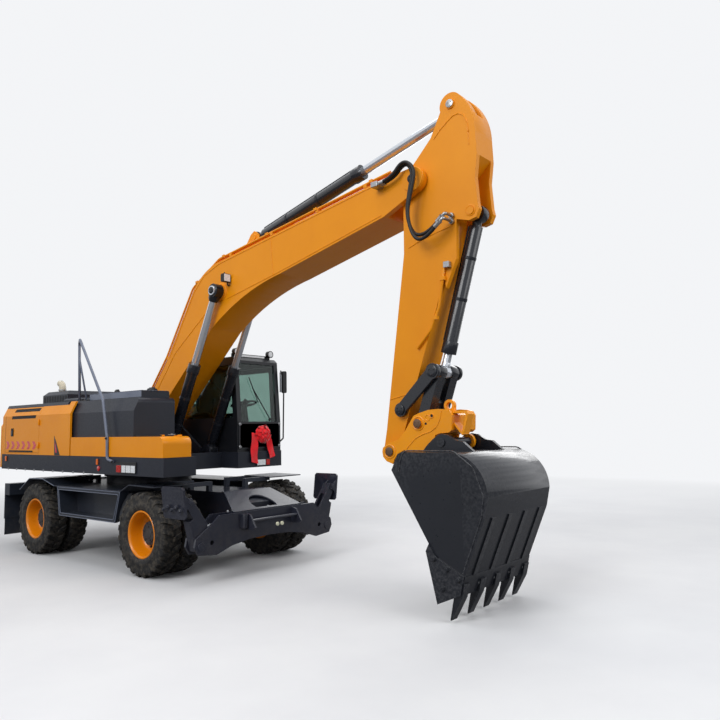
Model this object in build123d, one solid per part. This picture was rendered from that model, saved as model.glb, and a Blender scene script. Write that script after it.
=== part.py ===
from build123d import *
import math
import os

# Wheeled excavator with twin tyres, a one-piece boom, arm and bucket, and folding front supports.
# Millimetres. X runs forward to the bucket, Y to the left, Z up from the ground.
# Everything is worked out from the middle of the wheelbase and then set down on its own middle.
SET_DOWN_X = -1475

# Small clearances
SEAT_GAP = 0.3
PIN_PLAY = 0.3
SIDE_PLAY = 5

# Wheels and axles
WHEELBASE = 2800
TYRE_DIAMETER = 1036
TYRE_WIDTH = 275
TREAD_DEPTH = 24
LUGS_ROUND = 15
LUG_REACH = 0.94
TWIN_GAP = 45
TRACK_OUTSIDE = 2500
RIM_DIAMETER = 524
RIM_FLANGE_DIAMETER = 584
RIM_WALL = 22
HUB_DIAMETER = 330
HUB_DISH = 205
KINGPIN_Y = 600
KINGPIN_RADIUS = 32
AXLE_TUBE_RADIUS = 105
TYRE_SWING_PLAY = 8
FORK_THROAT = 88
FORK_PLATE = 32
FORK_HALF_WIDTH = 75
STEER_RAM_AHEAD = 218
STEER_RAM_HALF = 330
STEER_ROD_RADIUS = 22
STEER_EYE_Y = 540
STEER_EYE_RADIUS = 34
STEER_EYE_HALF = 26
DIFFERENTIAL_RADIUS = 168
SNOUT_LENGTH = 290

# Chassis
CHASSIS_HALF_WIDTH = 340
CHASSIS_TOP = 980
CHASSIS_BELLY = 560
CHASSIS_OVER_AXLE = 690
CHASSIS_REAR_X = -2230
CHASSIS_FRONT_X = 2180
SLEW_X = -300
SLEW_RADIUS = 620
TOWER_TOP = 1130
SLEW_TOP = 1200
FENDER_HALF_WIDTH = 1250
FENDER_INNER_Y = 655
FENDER_TOP = 1110
FENDER_THICKNESS = 14
STEP_BOTTOM = 620
STEP_WALL = 40
STEP_INNER_Y = 720

# Front support frame and legs
SUPPORT_FACE_X = 2390
SUPPORT_PLATE = 30
SUPPORT_BACK_X = 2190
SUPPORT_PIVOT_Y = 1070
SUPPORT_PIVOT_Z = 440
PAD_PIVOT_Y = 1215
PAD_PIVOT_Z = 960
PAD_LENGTH = 430
PAD_HEIGHT = 370
PAD_SHIFT = -125
PAD_THICKNESS = 26
SUPPORT_CYLINDER_Y = 260
SUPPORT_CYLINDER_Z = 690
SUPPORT_ROD_EYE_Y = 1010
SUPPORT_ROD_EYE_Z = 640
SUPPORT_BARREL_LENGTH = 480
SUPPORT_ROD_LENGTH = 590
SUPPORT_CYLINDER_PIN = 20
LEG_HALF = 62
PAD_TILT = 7
PAD_TILT_RANGE = 25
PAD_BACK = 62
LEG_SLOT_HALF = 36
SLOPE_FRONT_HALF = 569
SLOPE_FRONT_X = 2330
HITCH_Y = 392
HITCH_PLATE = 24
HITCH_PIN_RADIUS = 20
LASH_Y = 915
LASH_Z = 470
LASH_RADIUS = 28

# Upper structure
BODY_HALF_WIDTH = 1270
DECK_BOTTOM = 1230
DECK_TOP = 1460
TAIL_RADIUS = 2700
RIGHT_FRONT_X = 1920
CAB_FRONT_X = 1230
CENTRE_FRONT_X = 900
HOUSE_FRONT_X = -480
HOUSE_TOP = 2225
HOUSE_WALL = 30
HOUSE_CREASE_Z = 2050
HOUSE_LEAN = 85
HOUSE_SIDE_FRONT_X = -340
HOOD_THICKNESS = 45
HOOD_BULGE_HEIGHT = 205
HOOD_BULGE_X = (-1940, -1150)
HOOD_BULGE_Y = (-900, 560)
EXHAUST_X = -1550
EXHAUST_Y = -780
EXHAUST_RADIUS = 52
HOOD_HINGE_Y = 700
HOOD_HINGE_RADIUS = 20
DOOR_REAR_X = -2380
DOOR_FRONT_X = -1265
DOOR_THICKNESS = 28
DOOR_BOTTOM = 1490
HINGE_RADIUS = 11
COUNTERWEIGHT_TOP = 2070
COUNTERWEIGHT_FRONT_X = -2500
TANK_FRONT_X = 1178
TANK_REAR_X = -450
TANK_TOP = 2225
TANK_INNER_Y = -600
TANK_OUTER_Y = 1215
LOW_BOX_TOP = 1715
TOOLBOX_REAR_X = 690
TOOLBOX_FRONT_X = 1900
TOOLBOX_INNER_Y = -860
LID_THICKNESS = 20
LID_HINGE_RADIUS = 9
RAIL_RADIUS = 19
RAIL_TOP = 3090
LADDER_RAIL_X = 680
RAIL_BRACE_RADIUS = 13
RAIL_REAR_Y = -1090
ROOF_LEDGE_X = (-190, 1110)
ROOF_LEDGE_Y = (-1065, -640)
ROOF_LEDGE_HEIGHT = 92

# Cab
CAB_REAR_X = -430
CAB_INNER_Y = 440
CAB_OUTER_Y = 1290
CAB_ROOF = 2860
DOOR_HINGE_RADIUS = 15
CAB_WALL = 45
CAB_POST = 75
GLASS_THICKNESS = 8
WAIST_Z = 1900

# Boom, arm and bucket pins as (x, z)
BOOM_FOOT = (-100, 1860)
BOOM_CYLINDER_FOOT = (716, 1500)
BOOM_CYLINDER_EYE = (1725, 3639)
BOOM_NOSE = (4916, 4410)
FORK_BOTTOM_X = 4510
BARREL_LOW_ANGLE = math.radians(6)
ARM_CYLINDER_FOOT = (2200, 4335)
ARM_CYLINDER_EYE = (5356, 5135)
BUCKET_CYLINDER_FOOT = (5555, 3949)
LINK_UPPER = (5077, 2347)
IDLER_PIVOT = (4663, 1963)
COUPLER_PIN = (4893, 1816)
ARM_TIP = (4514, 1524)

BOOM_HALF_WIDTH = 260
NOSE_CHEEK = 75
NOSE_RADIUS = 135
BOOM_FOOT_RADIUS = 150
ARM_HALF_WIDTH = 175
ARM_BOSS_RADIUS = 190
ARM_TIP_RADIUS = 125
MAIN_PIN_RADIUS = 50
LINK_PIN_RADIUS = 40
LINK_THICKNESS = 42
EYE_RADIUS = 88
EYE_WIDTH = 110
ROD_END_RADIUS = 70
ROD_END_WIDTH = 96
LINK_Y = 195
HOSE_BLOCK_X = 4480
HOSE_BLOCK_Z = 4430
HOOK_EYE_RADIUS = 34
BOX_END_Y = (-190, -75)

BOOM_CYLINDER_Y = 350
BARREL_RADIUS = 72
BOOM_ROD_RADIUS = 50
BOOM_BARREL_LENGTH = 1310
BOOM_ROD_LENGTH = 1450
ARM_BARREL_RADIUS = 80
ARM_ROD_RADIUS = 53
ARM_BARREL_LENGTH = 1880
ARM_ROD_LENGTH = 1760
BUCKET_BARREL_RADIUS = 70
BUCKET_ROD_RADIUS = 43
BUCKET_BARREL_LENGTH = 1470
BUCKET_ROD_LENGTH = 1330
BARREL_WALL = 12
GLAND_LENGTH = 130
FOOT_NECK = 130

# Bucket
BUCKET_HALF_WIDTH = 640
BUCKET_SHELL = 24
BUCKET_SIDE = 28
TEETH = 5
TOOTH_WIDTH = 95
TOOTH_TIP = (5480, 24)
BUCKET_EAR_Y = 265
BUCKET_EAR_THICKNESS = 45
BUCKET_TOP_Z = 1540
WEAR_STRIPS = (-0.75, -0.25, 0.25, 0.75)
COUPLER_PLATE = 40
EAR_PIN = (5215, 1622)
EAR_PIN_RADIUS = 45
EAR_HOOK_RADIUS = 78
HOOK_X = 5200
HOOK_Y = -100
HOOK_Z = 1992
HOOK_WIDTH = 44

# Places worked out from the sizes above
AXLE_X = WHEELBASE / 2
HUB_Z = TYRE_DIAMETER / 2
OUTER_TYRE_Y = TRACK_OUTSIDE / 2 - TYRE_WIDTH / 2
INNER_TYRE_Y = OUTER_TYRE_Y - TYRE_WIDTH - TWIN_GAP
SUPPORT_MID_X = (SUPPORT_FACE_X - SUPPORT_PLATE + SUPPORT_BACK_X + SUPPORT_PLATE) / 2
ARM_GAP = BOOM_HALF_WIDTH - NOSE_CHEEK
DOOR_HINGE_X = CAB_REAR_X + 295
HOOD_HINGE_X = HOUSE_FRONT_X - 25
HOOD_HINGE_Z = HOUSE_TOP - HOOD_THICKNESS + HOOD_HINGE_RADIUS
LID_EDGE_Y = TOOLBOX_INNER_Y - 24 - SIDE_PLAY
LID_HINGE_Y = TOOLBOX_INNER_Y - 16
HUB_INNER_Y = INNER_TYRE_Y - 60


# Helpers

def block(x, y, z):
    """A box between two places along each axis."""
    size = (x[1] - x[0], y[1] - y[0], z[1] - z[0])
    middle = ((x[0] + x[1]) / 2, (y[0] + y[1]) / 2, (z[0] + z[1]) / 2)
    return Pos(*middle) * Box(*size)


def side_face(outline, y):
    """A face across the machine at y from an outline of (x, z) points or joined edges."""
    return Plane(origin=(0, y, 0), x_dir=(1, 0, 0), z_dir=(0, -1, 0)) * outline


def plate(points, y_low, y_high):
    """A plate of (x, z) points between two places across the machine."""
    return side_solid(Polygon(*points, align=None), y_low, y_high)


def side_solid(outline, y_low, y_high):
    """A solid between two places across the machine from an outline of (x, z)."""
    return extrude(side_face(outline, y_high), y_high - y_low, dir=(0, -1, 0))


def front_plate(points, x_low, x_high):
    """A plate of (y, z) points between two places along the machine."""
    face = Plane(origin=(x_low, 0, 0), x_dir=(0, 1, 0), z_dir=(1, 0, 0)) * Polygon(*points, align=None)
    return extrude(face, x_high - x_low, dir=(1, 0, 0))


def deck_plate(points, z_low, z_high):
    """A level plate of (x, y) points between two heights."""
    return extrude(Pos(0, 0, z_low) * Polygon(*points, align=None), z_high - z_low, dir=(0, 0, 1))


def cross_pin(place, y_low, y_high, radius):
    """A round bar across the machine at an (x, z) place."""
    return Pos(place[0], (y_low + y_high) / 2, place[1]) * Rot(90, 0, 0) * Cylinder(radius, y_high - y_low)


def bar(start, end, radius):
    """A round bar between two points."""
    a, b = Vector(*start), Vector(*end)
    base = (Align.CENTER, Align.CENTER, Align.MIN)
    return Plane(origin=a, z_dir=b - a) * Cylinder(radius, (b - a).length, align=base)


def along(start, end, distance):
    """The (x, z) point at a distance from start towards end."""
    length = math.dist(start, end)
    return tuple(s + (e - s) * distance / length for s, e in zip(start, end))


def at_y(place, y):
    """An (x, z) place as a point at y."""
    return (place[0], y, place[1])


def mirrored(shape):
    """The same shape on the other side of the machine."""
    return mirror(shape, about=Plane.XZ)


def both_sides(shape):
    """A shape on the left with its twin on the right."""
    return shape + mirrored(shape)


def as_one(*shapes):
    """Separate solids kept as one group."""
    solids = [s for shape in shapes for s in shape.solids()]
    return Compound(children=solids)


# Wheels, built with their axle line along Y and their outside face at positive Y

def tyre():
    """One tyre with its tread grooves and a bead that sits on the rim."""
    half = TYRE_WIDTH / 2
    outer = TYRE_DIAMETER / 2
    base = outer - TREAD_DEPTH
    bead = RIM_DIAMETER / 2
    flange = RIM_FLANGE_DIAMETER / 2
    shoulder = half * 0.86
    section = Polygon(
        (bead, -half * 0.76),
        (flange, -half * 0.76),
        (flange + 60, -half),
        (base - 70, -half),
        (base, -shoulder),
        (base, shoulder),
        (base - 70, half),
        (flange + 60, half),
        (flange, half * 0.76),
        (bead, half * 0.76),
        align=None,
    )
    body = revolve(section, Axis.Y)
    step = 2 * math.pi / LUGS_ROUND
    # One row of lugs each side of the middle, half a pitch apart
    for side in (-1, 1):
        corners = []
        for i in range(LUGS_ROUND):
            start = (i + side * 0.25) * step
            for radius, share in ((base - 12, 0.0), (outer, 0.07), (outer, 0.53), (base - 12, 0.6)):
                angle = start + share * step
                corners.append((radius * math.cos(angle), radius * math.sin(angle)))
        near, far = sorted((side * 4, side * half * LUG_REACH))
        lugs = plate(corners, near, far) - cross_pin((0, 0), near - 1, far + 1, base - 30)
        body += lugs
    return body


def rim(dish):
    """A rim with its flanges, and a disc set in from the outer flange by the dish."""
    half = TYRE_WIDTH / 2 * 0.76 + SEAT_GAP
    seat = RIM_DIAMETER / 2 - SEAT_GAP
    flange = RIM_FLANGE_DIAMETER / 2
    lip = 12
    inner = seat - RIM_WALL
    ring = Polygon(
        (inner, -half - lip),
        (flange, -half - lip),
        (flange, -half),
        (seat, -half),
        (seat, half),
        (flange, half),
        (flange, half + lip),
        (inner, half + lip),
        align=None,
    )
    disc_y = half + lip - dish
    return revolve(ring, Axis.Y) + Pos(0, disc_y, 0) * Rot(90, 0, 0) * Cylinder(inner + 5, 24)


def wheel_rims():
    """Both rims of a twin wheel, the spacer between them and the hub."""
    rims = Pos(0, OUTER_TYRE_Y, 0) * rim(HUB_DISH) + Pos(0, INNER_TYRE_Y, 0) * rim(40)
    half = TYRE_WIDTH / 2 * 0.76
    spacer_outer = RIM_DIAMETER / 2 - 4
    spacer = Polygon(
        (spacer_outer - 20, INNER_TYRE_Y + half),
        (spacer_outer, INNER_TYRE_Y + half),
        (spacer_outer, OUTER_TYRE_Y - half),
        (spacer_outer - 20, OUTER_TYRE_Y - half),
        align=None,
    )
    hub_outer = HUB_DIAMETER / 2
    hub_face = OUTER_TYRE_Y + half - HUB_DISH + 95
    hub = Polygon(
        (0, INNER_TYRE_Y - 60),
        (hub_outer * 0.8, INNER_TYRE_Y - 60),
        (hub_outer * 0.8, INNER_TYRE_Y + 60),
        (hub_outer, INNER_TYRE_Y + 60),
        (hub_outer, hub_face - 60),
        (hub_outer * 0.72, hub_face),
        (0, hub_face),
        align=None,
    )
    return rims + revolve(spacer, Axis.Y) + revolve(hub, Axis.Y)


def put_wheel(shape, x, side):
    """A wheel shape set on its axle, turned about for the right side."""
    turned = shape if side > 0 else Rot(0, 0, 180) * shape
    return Pos(x, 0, HUB_Z) * turned


# Chassis

def chassis_frame():
    """The welded beam between the axles with its turntable tower and slew ring."""
    beam_side = [
        (CHASSIS_REAR_X, CHASSIS_TOP),
        (CHASSIS_REAR_X, CHASSIS_OVER_AXLE + 60),
        (-AXLE_X - 330, CHASSIS_OVER_AXLE),
        (-AXLE_X + 330, CHASSIS_OVER_AXLE),
        (-AXLE_X + 480, CHASSIS_BELLY),
        (AXLE_X - 480, CHASSIS_BELLY),
        (AXLE_X - 330, CHASSIS_OVER_AXLE),
        (AXLE_X + 330, CHASSIS_OVER_AXLE),
        (SUPPORT_BACK_X - SEAT_GAP, CHASSIS_OVER_AXLE - 60),
        (SUPPORT_BACK_X - SEAT_GAP, CHASSIS_TOP - 130),
        (CHASSIS_FRONT_X - 330, CHASSIS_TOP),
    ]
    beam = plate(beam_side, -CHASSIS_HALF_WIDTH, CHASSIS_HALF_WIDTH)
    # Four arms spread from the beam to the tower
    waist = 700
    cross = [
        (SLEW_X - 820, -CHASSIS_HALF_WIDTH),
        (SLEW_X - 420, -waist),
        (SLEW_X + 420, -waist),
        (SLEW_X + 820, -CHASSIS_HALF_WIDTH),
        (SLEW_X + 820, CHASSIS_HALF_WIDTH),
        (SLEW_X + 420, waist),
        (SLEW_X - 420, waist),
        (SLEW_X - 820, CHASSIS_HALF_WIDTH),
    ]
    spread = deck_plate(cross, CHASSIS_BELLY + 120, CHASSIS_TOP)
    tower = Pos(SLEW_X, 0, (CHASSIS_TOP + TOWER_TOP) / 2) * Cylinder(SLEW_RADIUS, TOWER_TOP - CHASSIS_TOP)
    ring_height = SLEW_TOP - SEAT_GAP - TOWER_TOP
    ring = Pos(SLEW_X, 0, TOWER_TOP + ring_height / 2) * Cylinder(SLEW_RADIUS + 35, ring_height)
    return beam + spread + tower + ring


def axle_tube(x):
    """A drive axle's housing with its middle bulge, seated under the frame."""
    end = KINGPIN_Y - FORK_THROAT - FORK_PLATE / 2
    tube = Pos(x, 0, HUB_Z) * Rot(90, 0, 0) * Cylinder(AXLE_TUBE_RADIUS, 2 * end)
    bulge_side = [
        (0, 260), (AXLE_TUBE_RADIUS, 260), (DIFFERENTIAL_RADIUS - 25, 120), (DIFFERENTIAL_RADIUS, 50)
    ]
    bulge_side += [(r, -y) for r, y in reversed(bulge_side)]
    bulge = Pos(x, 0, HUB_Z) * revolve(Polygon(*bulge_side, align=None), Axis.Y)
    seat_height = CHASSIS_OVER_AXLE - SEAT_GAP - HUB_Z
    seats = both_sides(block((x - 120, x + 120), (200, 300), (HUB_Z, HUB_Z + seat_height)))
    snout_x = x - math.copysign(SNOUT_LENGTH, x)
    snout = bar((x, 0, HUB_Z + 10), (snout_x, 0, HUB_Z + 10), 75)
    return tube + bulge + seats + snout


def front_axle():
    """The steered axle, with a fork at each end for the knuckle's pins."""
    axle = axle_tube(AXLE_X)
    fork_face = KINGPIN_Y - FORK_THROAT
    for side in (-1, 1):
        y = sorted((side * (fork_face - FORK_PLATE), side * fork_face))
        axle += block((AXLE_X - FORK_HALF_WIDTH, AXLE_X + FORK_HALF_WIDTH), y, (HUB_Z - 165, HUB_Z + 165))
        for z in (-1, 1):
            lug_z = sorted((HUB_Z + z * 128, HUB_Z + z * 165))
            lug_y = sorted((side * (fork_face - FORK_PLATE / 2), side * (KINGPIN_Y + 45)))
            axle += block((AXLE_X - 50, AXLE_X + 50), lug_y, lug_z)
            middle = Pos(AXLE_X, side * KINGPIN_Y, sum(lug_z) / 2)
            axle -= middle * Cylinder(KINGPIN_RADIUS + PIN_PLAY, 60)
    # The steering cylinder lies ahead of the housing
    ram_x = AXLE_X + STEER_RAM_AHEAD
    ram = Pos(ram_x, 0, HUB_Z) * Rot(90, 0, 0) * Cylinder(42, 2 * STEER_RAM_HALF)
    bore = Pos(ram_x, 0, HUB_Z) * Rot(90, 0, 0) * Cylinder(STEER_ROD_RADIUS + PIN_PLAY, 3 * STEER_RAM_HALF)
    holders = both_sides(block((AXLE_X + 60, ram_x), (245, 285), (HUB_Z - 45, HUB_Z + 45)))
    return axle + (holders + ram - bore)


def rear_axle():
    """The fixed drive axle with a flange at each end."""
    axle = axle_tube(-AXLE_X)
    for side in (-1, 1):
        y = sorted((side * (KINGPIN_Y - FORK_THROAT - FORK_PLATE), side * (HUB_INNER_Y - SEAT_GAP)))
        middle = Pos(-AXLE_X, sum(y) / 2, HUB_Z) * Rot(90, 0, 0)
        axle += middle * Cylinder(AXLE_TUBE_RADIUS + 25, y[1] - y[0])
    return axle


def knuckle(side):
    """The steering knuckle: a swivel body between the fork's lugs, a spindle flange and a steering arm."""
    inner = KINGPIN_Y - 48
    body = block(
        (AXLE_X - 62, AXLE_X + 62),
        (inner, KINGPIN_Y + 48),
        (HUB_Z - 128 + SIDE_PLAY, HUB_Z + 128 - SIDE_PLAY),
    )
    pins = Pos(AXLE_X, KINGPIN_Y, HUB_Z) * Cylinder(KINGPIN_RADIUS, 2 * 172)
    flange_y = (KINGPIN_Y + 40, HUB_INNER_Y - SEAT_GAP)
    flange = cross_pin((AXLE_X, HUB_Z), flange_y[0], flange_y[1], AXLE_TUBE_RADIUS)
    shape = body + pins + flange
    # The steering arm's two plates pass above and below the rod's eye
    arm_x = (AXLE_X + 50, AXLE_X + STEER_RAM_AHEAD + 20)
    arm_z = (STEER_EYE_HALF + SIDE_PLAY, STEER_EYE_HALF + SIDE_PLAY + 16)
    for low, high in (arm_z, (-arm_z[1], -arm_z[0])):
        shape += block(arm_x, (inner + 8, KINGPIN_Y + 30), (HUB_Z + low, HUB_Z + high))
    return shape if side > 0 else mirrored(shape)


def steering_rod():
    """The steering cylinder's through rod with an end at each side."""
    ram_x = AXLE_X + STEER_RAM_AHEAD
    rod = Pos(ram_x, 0, HUB_Z) * Rot(90, 0, 0) * Cylinder(STEER_ROD_RADIUS, 2 * STEER_EYE_Y)
    ends = both_sides(Pos(ram_x, STEER_EYE_Y, HUB_Z) * Cylinder(STEER_EYE_RADIUS, 2 * STEER_EYE_HALF))
    return rod + ends


def drive_line():
    """The gearbox under the tower and the shafts to both axles."""
    box_x = SLEW_X + 500
    low = CHASSIS_BELLY - SEAT_GAP
    gearbox = block((box_x - 190, box_x + 190), (-150, 150), (low - 230, low))
    gearbox = chamfer(gearbox.edges().filter_by(Axis.Y), 40)
    shaft_z = low - 120
    parts = gearbox
    for end_x, box_side in ((AXLE_X - SNOUT_LENGTH, 1), (-AXLE_X + SNOUT_LENGTH, -1)):
        start = (box_x + box_side * 210, 0, shaft_z)
        end = (end_x - box_side * (SEAT_GAP + 30), 0, HUB_Z + 10)
        parts += bar(start, end, 42)
        for x, z, way in ((end[0], end[2], box_side), (start[0], start[2], -box_side)):
            parts += bar((x, 0, z), (x + way * 30, 0, z), 68)
    return parts


def fender_steps():
    """The bent fender plates over the wheels, the framed side boxes between them and the rear guard."""
    bend = FENDER_THICKNESS
    rise_x = 170
    rear_run = [
        (-AXLE_X - 480, FENDER_TOP - 180),
        (-AXLE_X - rise_x, FENDER_TOP),
        (-AXLE_X + 260, FENDER_TOP + 8),
        (-AXLE_X + 600, FENDER_TOP - 78),
        (AXLE_X - 450, FENDER_TOP - 78),
        (AXLE_X - 260, FENDER_TOP + 8),
        (AXLE_X + rise_x + 130, FENDER_TOP),
    ]
    lower = [(x, z - bend) for x, z in reversed(rear_run)]
    y = (FENDER_INNER_Y, FENDER_HALF_WIDTH)
    plates = both_sides(plate(rear_run + lower, *y))
    # Brackets that carry the fender plates from the frame
    for x in (-AXLE_X - 90, -AXLE_X + 150, AXLE_X - 250, AXLE_X + 150):
        arm_z = (FENDER_TOP - bend - 42, FENDER_TOP - 2)
        arm = block((x - 30, x + 30), (CHASSIS_HALF_WIDTH - 60, FENDER_INNER_Y + 90), arm_z)
        plates += both_sides(arm)
        post = block(
            (x - 30, x + 30), (CHASSIS_HALF_WIDTH - 60, CHASSIS_HALF_WIDTH), (CHASSIS_TOP + SEAT_GAP, arm_z[1])
        )
        plates += both_sides(post)
    # Open framed boxes between the wheels
    box_x = (-AXLE_X + 705, AXLE_X - 450)
    top = FENDER_TOP - 78 - bend
    outer = plate(
        [(box_x[0], top), (box_x[0] + 70, STEP_BOTTOM), (box_x[1] - 110, STEP_BOTTOM), (box_x[1], top)],
        STEP_INNER_Y,
        FENDER_HALF_WIDTH,
    )
    inner = plate(
        [
            (box_x[0] + STEP_WALL, top - STEP_WALL),
            (box_x[0] + 70 + STEP_WALL, STEP_BOTTOM + STEP_WALL),
            (box_x[1] - 110 - STEP_WALL, STEP_BOTTOM + STEP_WALL),
            (box_x[1] - STEP_WALL, top - STEP_WALL),
        ],
        FENDER_HALF_WIDTH - 260,
        FENDER_HALF_WIDTH + 10,
    )
    # The steered twin tyres swing through the box's front end, behind its outer frame
    swing = math.hypot(TYRE_DIAMETER / 2, TRACK_OUTSIDE / 2 - KINGPIN_Y) + TYRE_SWING_PLAY
    swept = Pos(AXLE_X, KINGPIN_Y, HUB_Z) * Sphere(swing)
    plates += both_sides(outer - inner - swept)
    # Guard plates and flaps behind the rear wheels
    guard_x = CHASSIS_REAR_X - 150
    beam = block(
        (CHASSIS_REAR_X - 170, CHASSIS_REAR_X - SEAT_GAP), (-FENDER_HALF_WIDTH, FENDER_HALF_WIDTH), (820, 1000)
    )
    plates += beam
    guard = block((guard_x - 20, guard_x), (FENDER_INNER_Y, FENDER_HALF_WIDTH), (450, 830))
    flap = block((guard_x - 14, guard_x - 6), (FENDER_INNER_Y + 20, FENDER_HALF_WIDTH - 10), (200, 460))
    plates += both_sides(guard + flap)
    return plates


def support_frame():
    """The frame at the front that carries the folding legs: two cross plates, gussets and a sloping top."""
    pivot = (SUPPORT_PIVOT_Y, SUPPORT_PIVOT_Z)
    reach = SUPPORT_PIVOT_Y + 95
    half_face = [
        (0, 775),
        (805, 775),
        (905, 690),
        (reach - 20, 535),
        (reach, SUPPORT_PIVOT_Z),
        (reach - 55, 345),
        (850, 320),
        (620, 395),
        (330, 440),
        (0, 450),
    ]
    face_points = half_face + [(-y, z) for y, z in reversed(half_face[1:-1])]
    front = front_plate(face_points, SUPPORT_FACE_X - SUPPORT_PLATE, SUPPORT_FACE_X)
    back = front_plate(face_points, SUPPORT_BACK_X, SUPPORT_BACK_X + SUPPORT_PLATE)
    frame = front + back
    # Floor and top between the plates
    gap = (SUPPORT_BACK_X + SUPPORT_PLATE, SUPPORT_FACE_X - SUPPORT_PLATE)
    frame += block(gap, (-560, 560), (450, 480))
    frame += block(gap, (-560, 560), (745, 775))
    frame += both_sides(block(gap, (530, 560), (470, 555)))
    # Sloping top plate back to the chassis, with its D-shaped cut-out
    slope = [
        (SUPPORT_FACE_X - 12, 771),
        (SUPPORT_FACE_X - 12, 790),
        (SUPPORT_FACE_X - SUPPORT_PLATE, 790),
        (1960, CHASSIS_TOP + 15),
        (CHASSIS_FRONT_X - 330, CHASSIS_TOP + 15),
        (CHASSIS_FRONT_X - 330, CHASSIS_TOP + SEAT_GAP),
        (1955, CHASSIS_TOP + SEAT_GAP),
        (SUPPORT_FACE_X - SUPPORT_PLATE - 20, 771),
    ]
    top = plate(slope, -SLOPE_FRONT_HALF, SLOPE_FRONT_HALF)
    plan = [
        (CHASSIS_FRONT_X - 340, -CHASSIS_HALF_WIDTH),
        (SLOPE_FRONT_X, -SLOPE_FRONT_HALF),
        (SUPPORT_FACE_X, -SLOPE_FRONT_HALF),
        (SUPPORT_FACE_X, SLOPE_FRONT_HALF),
        (SLOPE_FRONT_X, SLOPE_FRONT_HALF),
        (CHASSIS_FRONT_X - 340, CHASSIS_HALF_WIDTH),
    ]
    top = top & deck_plate(plan, 700, CHASSIS_TOP + 60)
    cut = Pos(SLOPE_FRONT_X - 60, 0, 900) * (Cylinder(190, 400) & Pos(-90, 0, 0) * Box(300, 400, 400))
    frame += top - cut
    # The towing hitch: two gusset plates on the face with a pin bar between them
    gusset = [
        (SUPPORT_FACE_X - 1, 760),
        (SUPPORT_FACE_X + 80, 742),
        (SUPPORT_FACE_X + 175, 592),
        (SUPPORT_FACE_X + 150, 566),
        (SUPPORT_FACE_X - 1, 560),
    ]
    frame += both_sides(plate(gusset, HITCH_Y - HITCH_PLATE / 2, HITCH_Y + HITCH_PLATE / 2))
    frame += cross_pin((SUPPORT_FACE_X + 85, 668), -HITCH_Y, HITCH_Y, HITCH_PIN_RADIUS)
    stop = block((SUPPORT_FACE_X - 1, SUPPORT_FACE_X + 60), (-HITCH_Y - 95, -HITCH_Y - 20), (585, 755))
    frame += chamfer(stop.edges().filter_by(Axis.Z).group_by(Axis.X)[-1], 14)
    # Bosses and bores of the leg pins, and the lashing holes beside them
    for side in (-1, 1):
        for y, z, radius in (
            (SUPPORT_PIVOT_Y, SUPPORT_PIVOT_Z, MAIN_PIN_RADIUS), (LASH_Y, LASH_Z, LASH_RADIUS)
        ):
            hole = Pos(SUPPORT_MID_X, side * y, z) * Rot(0, 90, 0) * Cylinder(radius + PIN_PLAY, 400)
            frame -= hole
    # Lugs for the leg cylinders
    lug = [(SUPPORT_CYLINDER_Y - 70, 750), (SUPPORT_CYLINDER_Y - 40, 640), (SUPPORT_CYLINDER_Y + 40, 640),
           (SUPPORT_CYLINDER_Y + 70, 750)]
    for x in (SUPPORT_MID_X - 48, SUPPORT_MID_X + 30):
        frame += both_sides(front_plate(lug, x, x + 18))
    pin = Pos(SUPPORT_MID_X, SUPPORT_CYLINDER_Y, SUPPORT_CYLINDER_Z) * Rot(0, 90, 0)
    return frame + both_sides(pin * Cylinder(SUPPORT_CYLINDER_PIN, 112))


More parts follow.
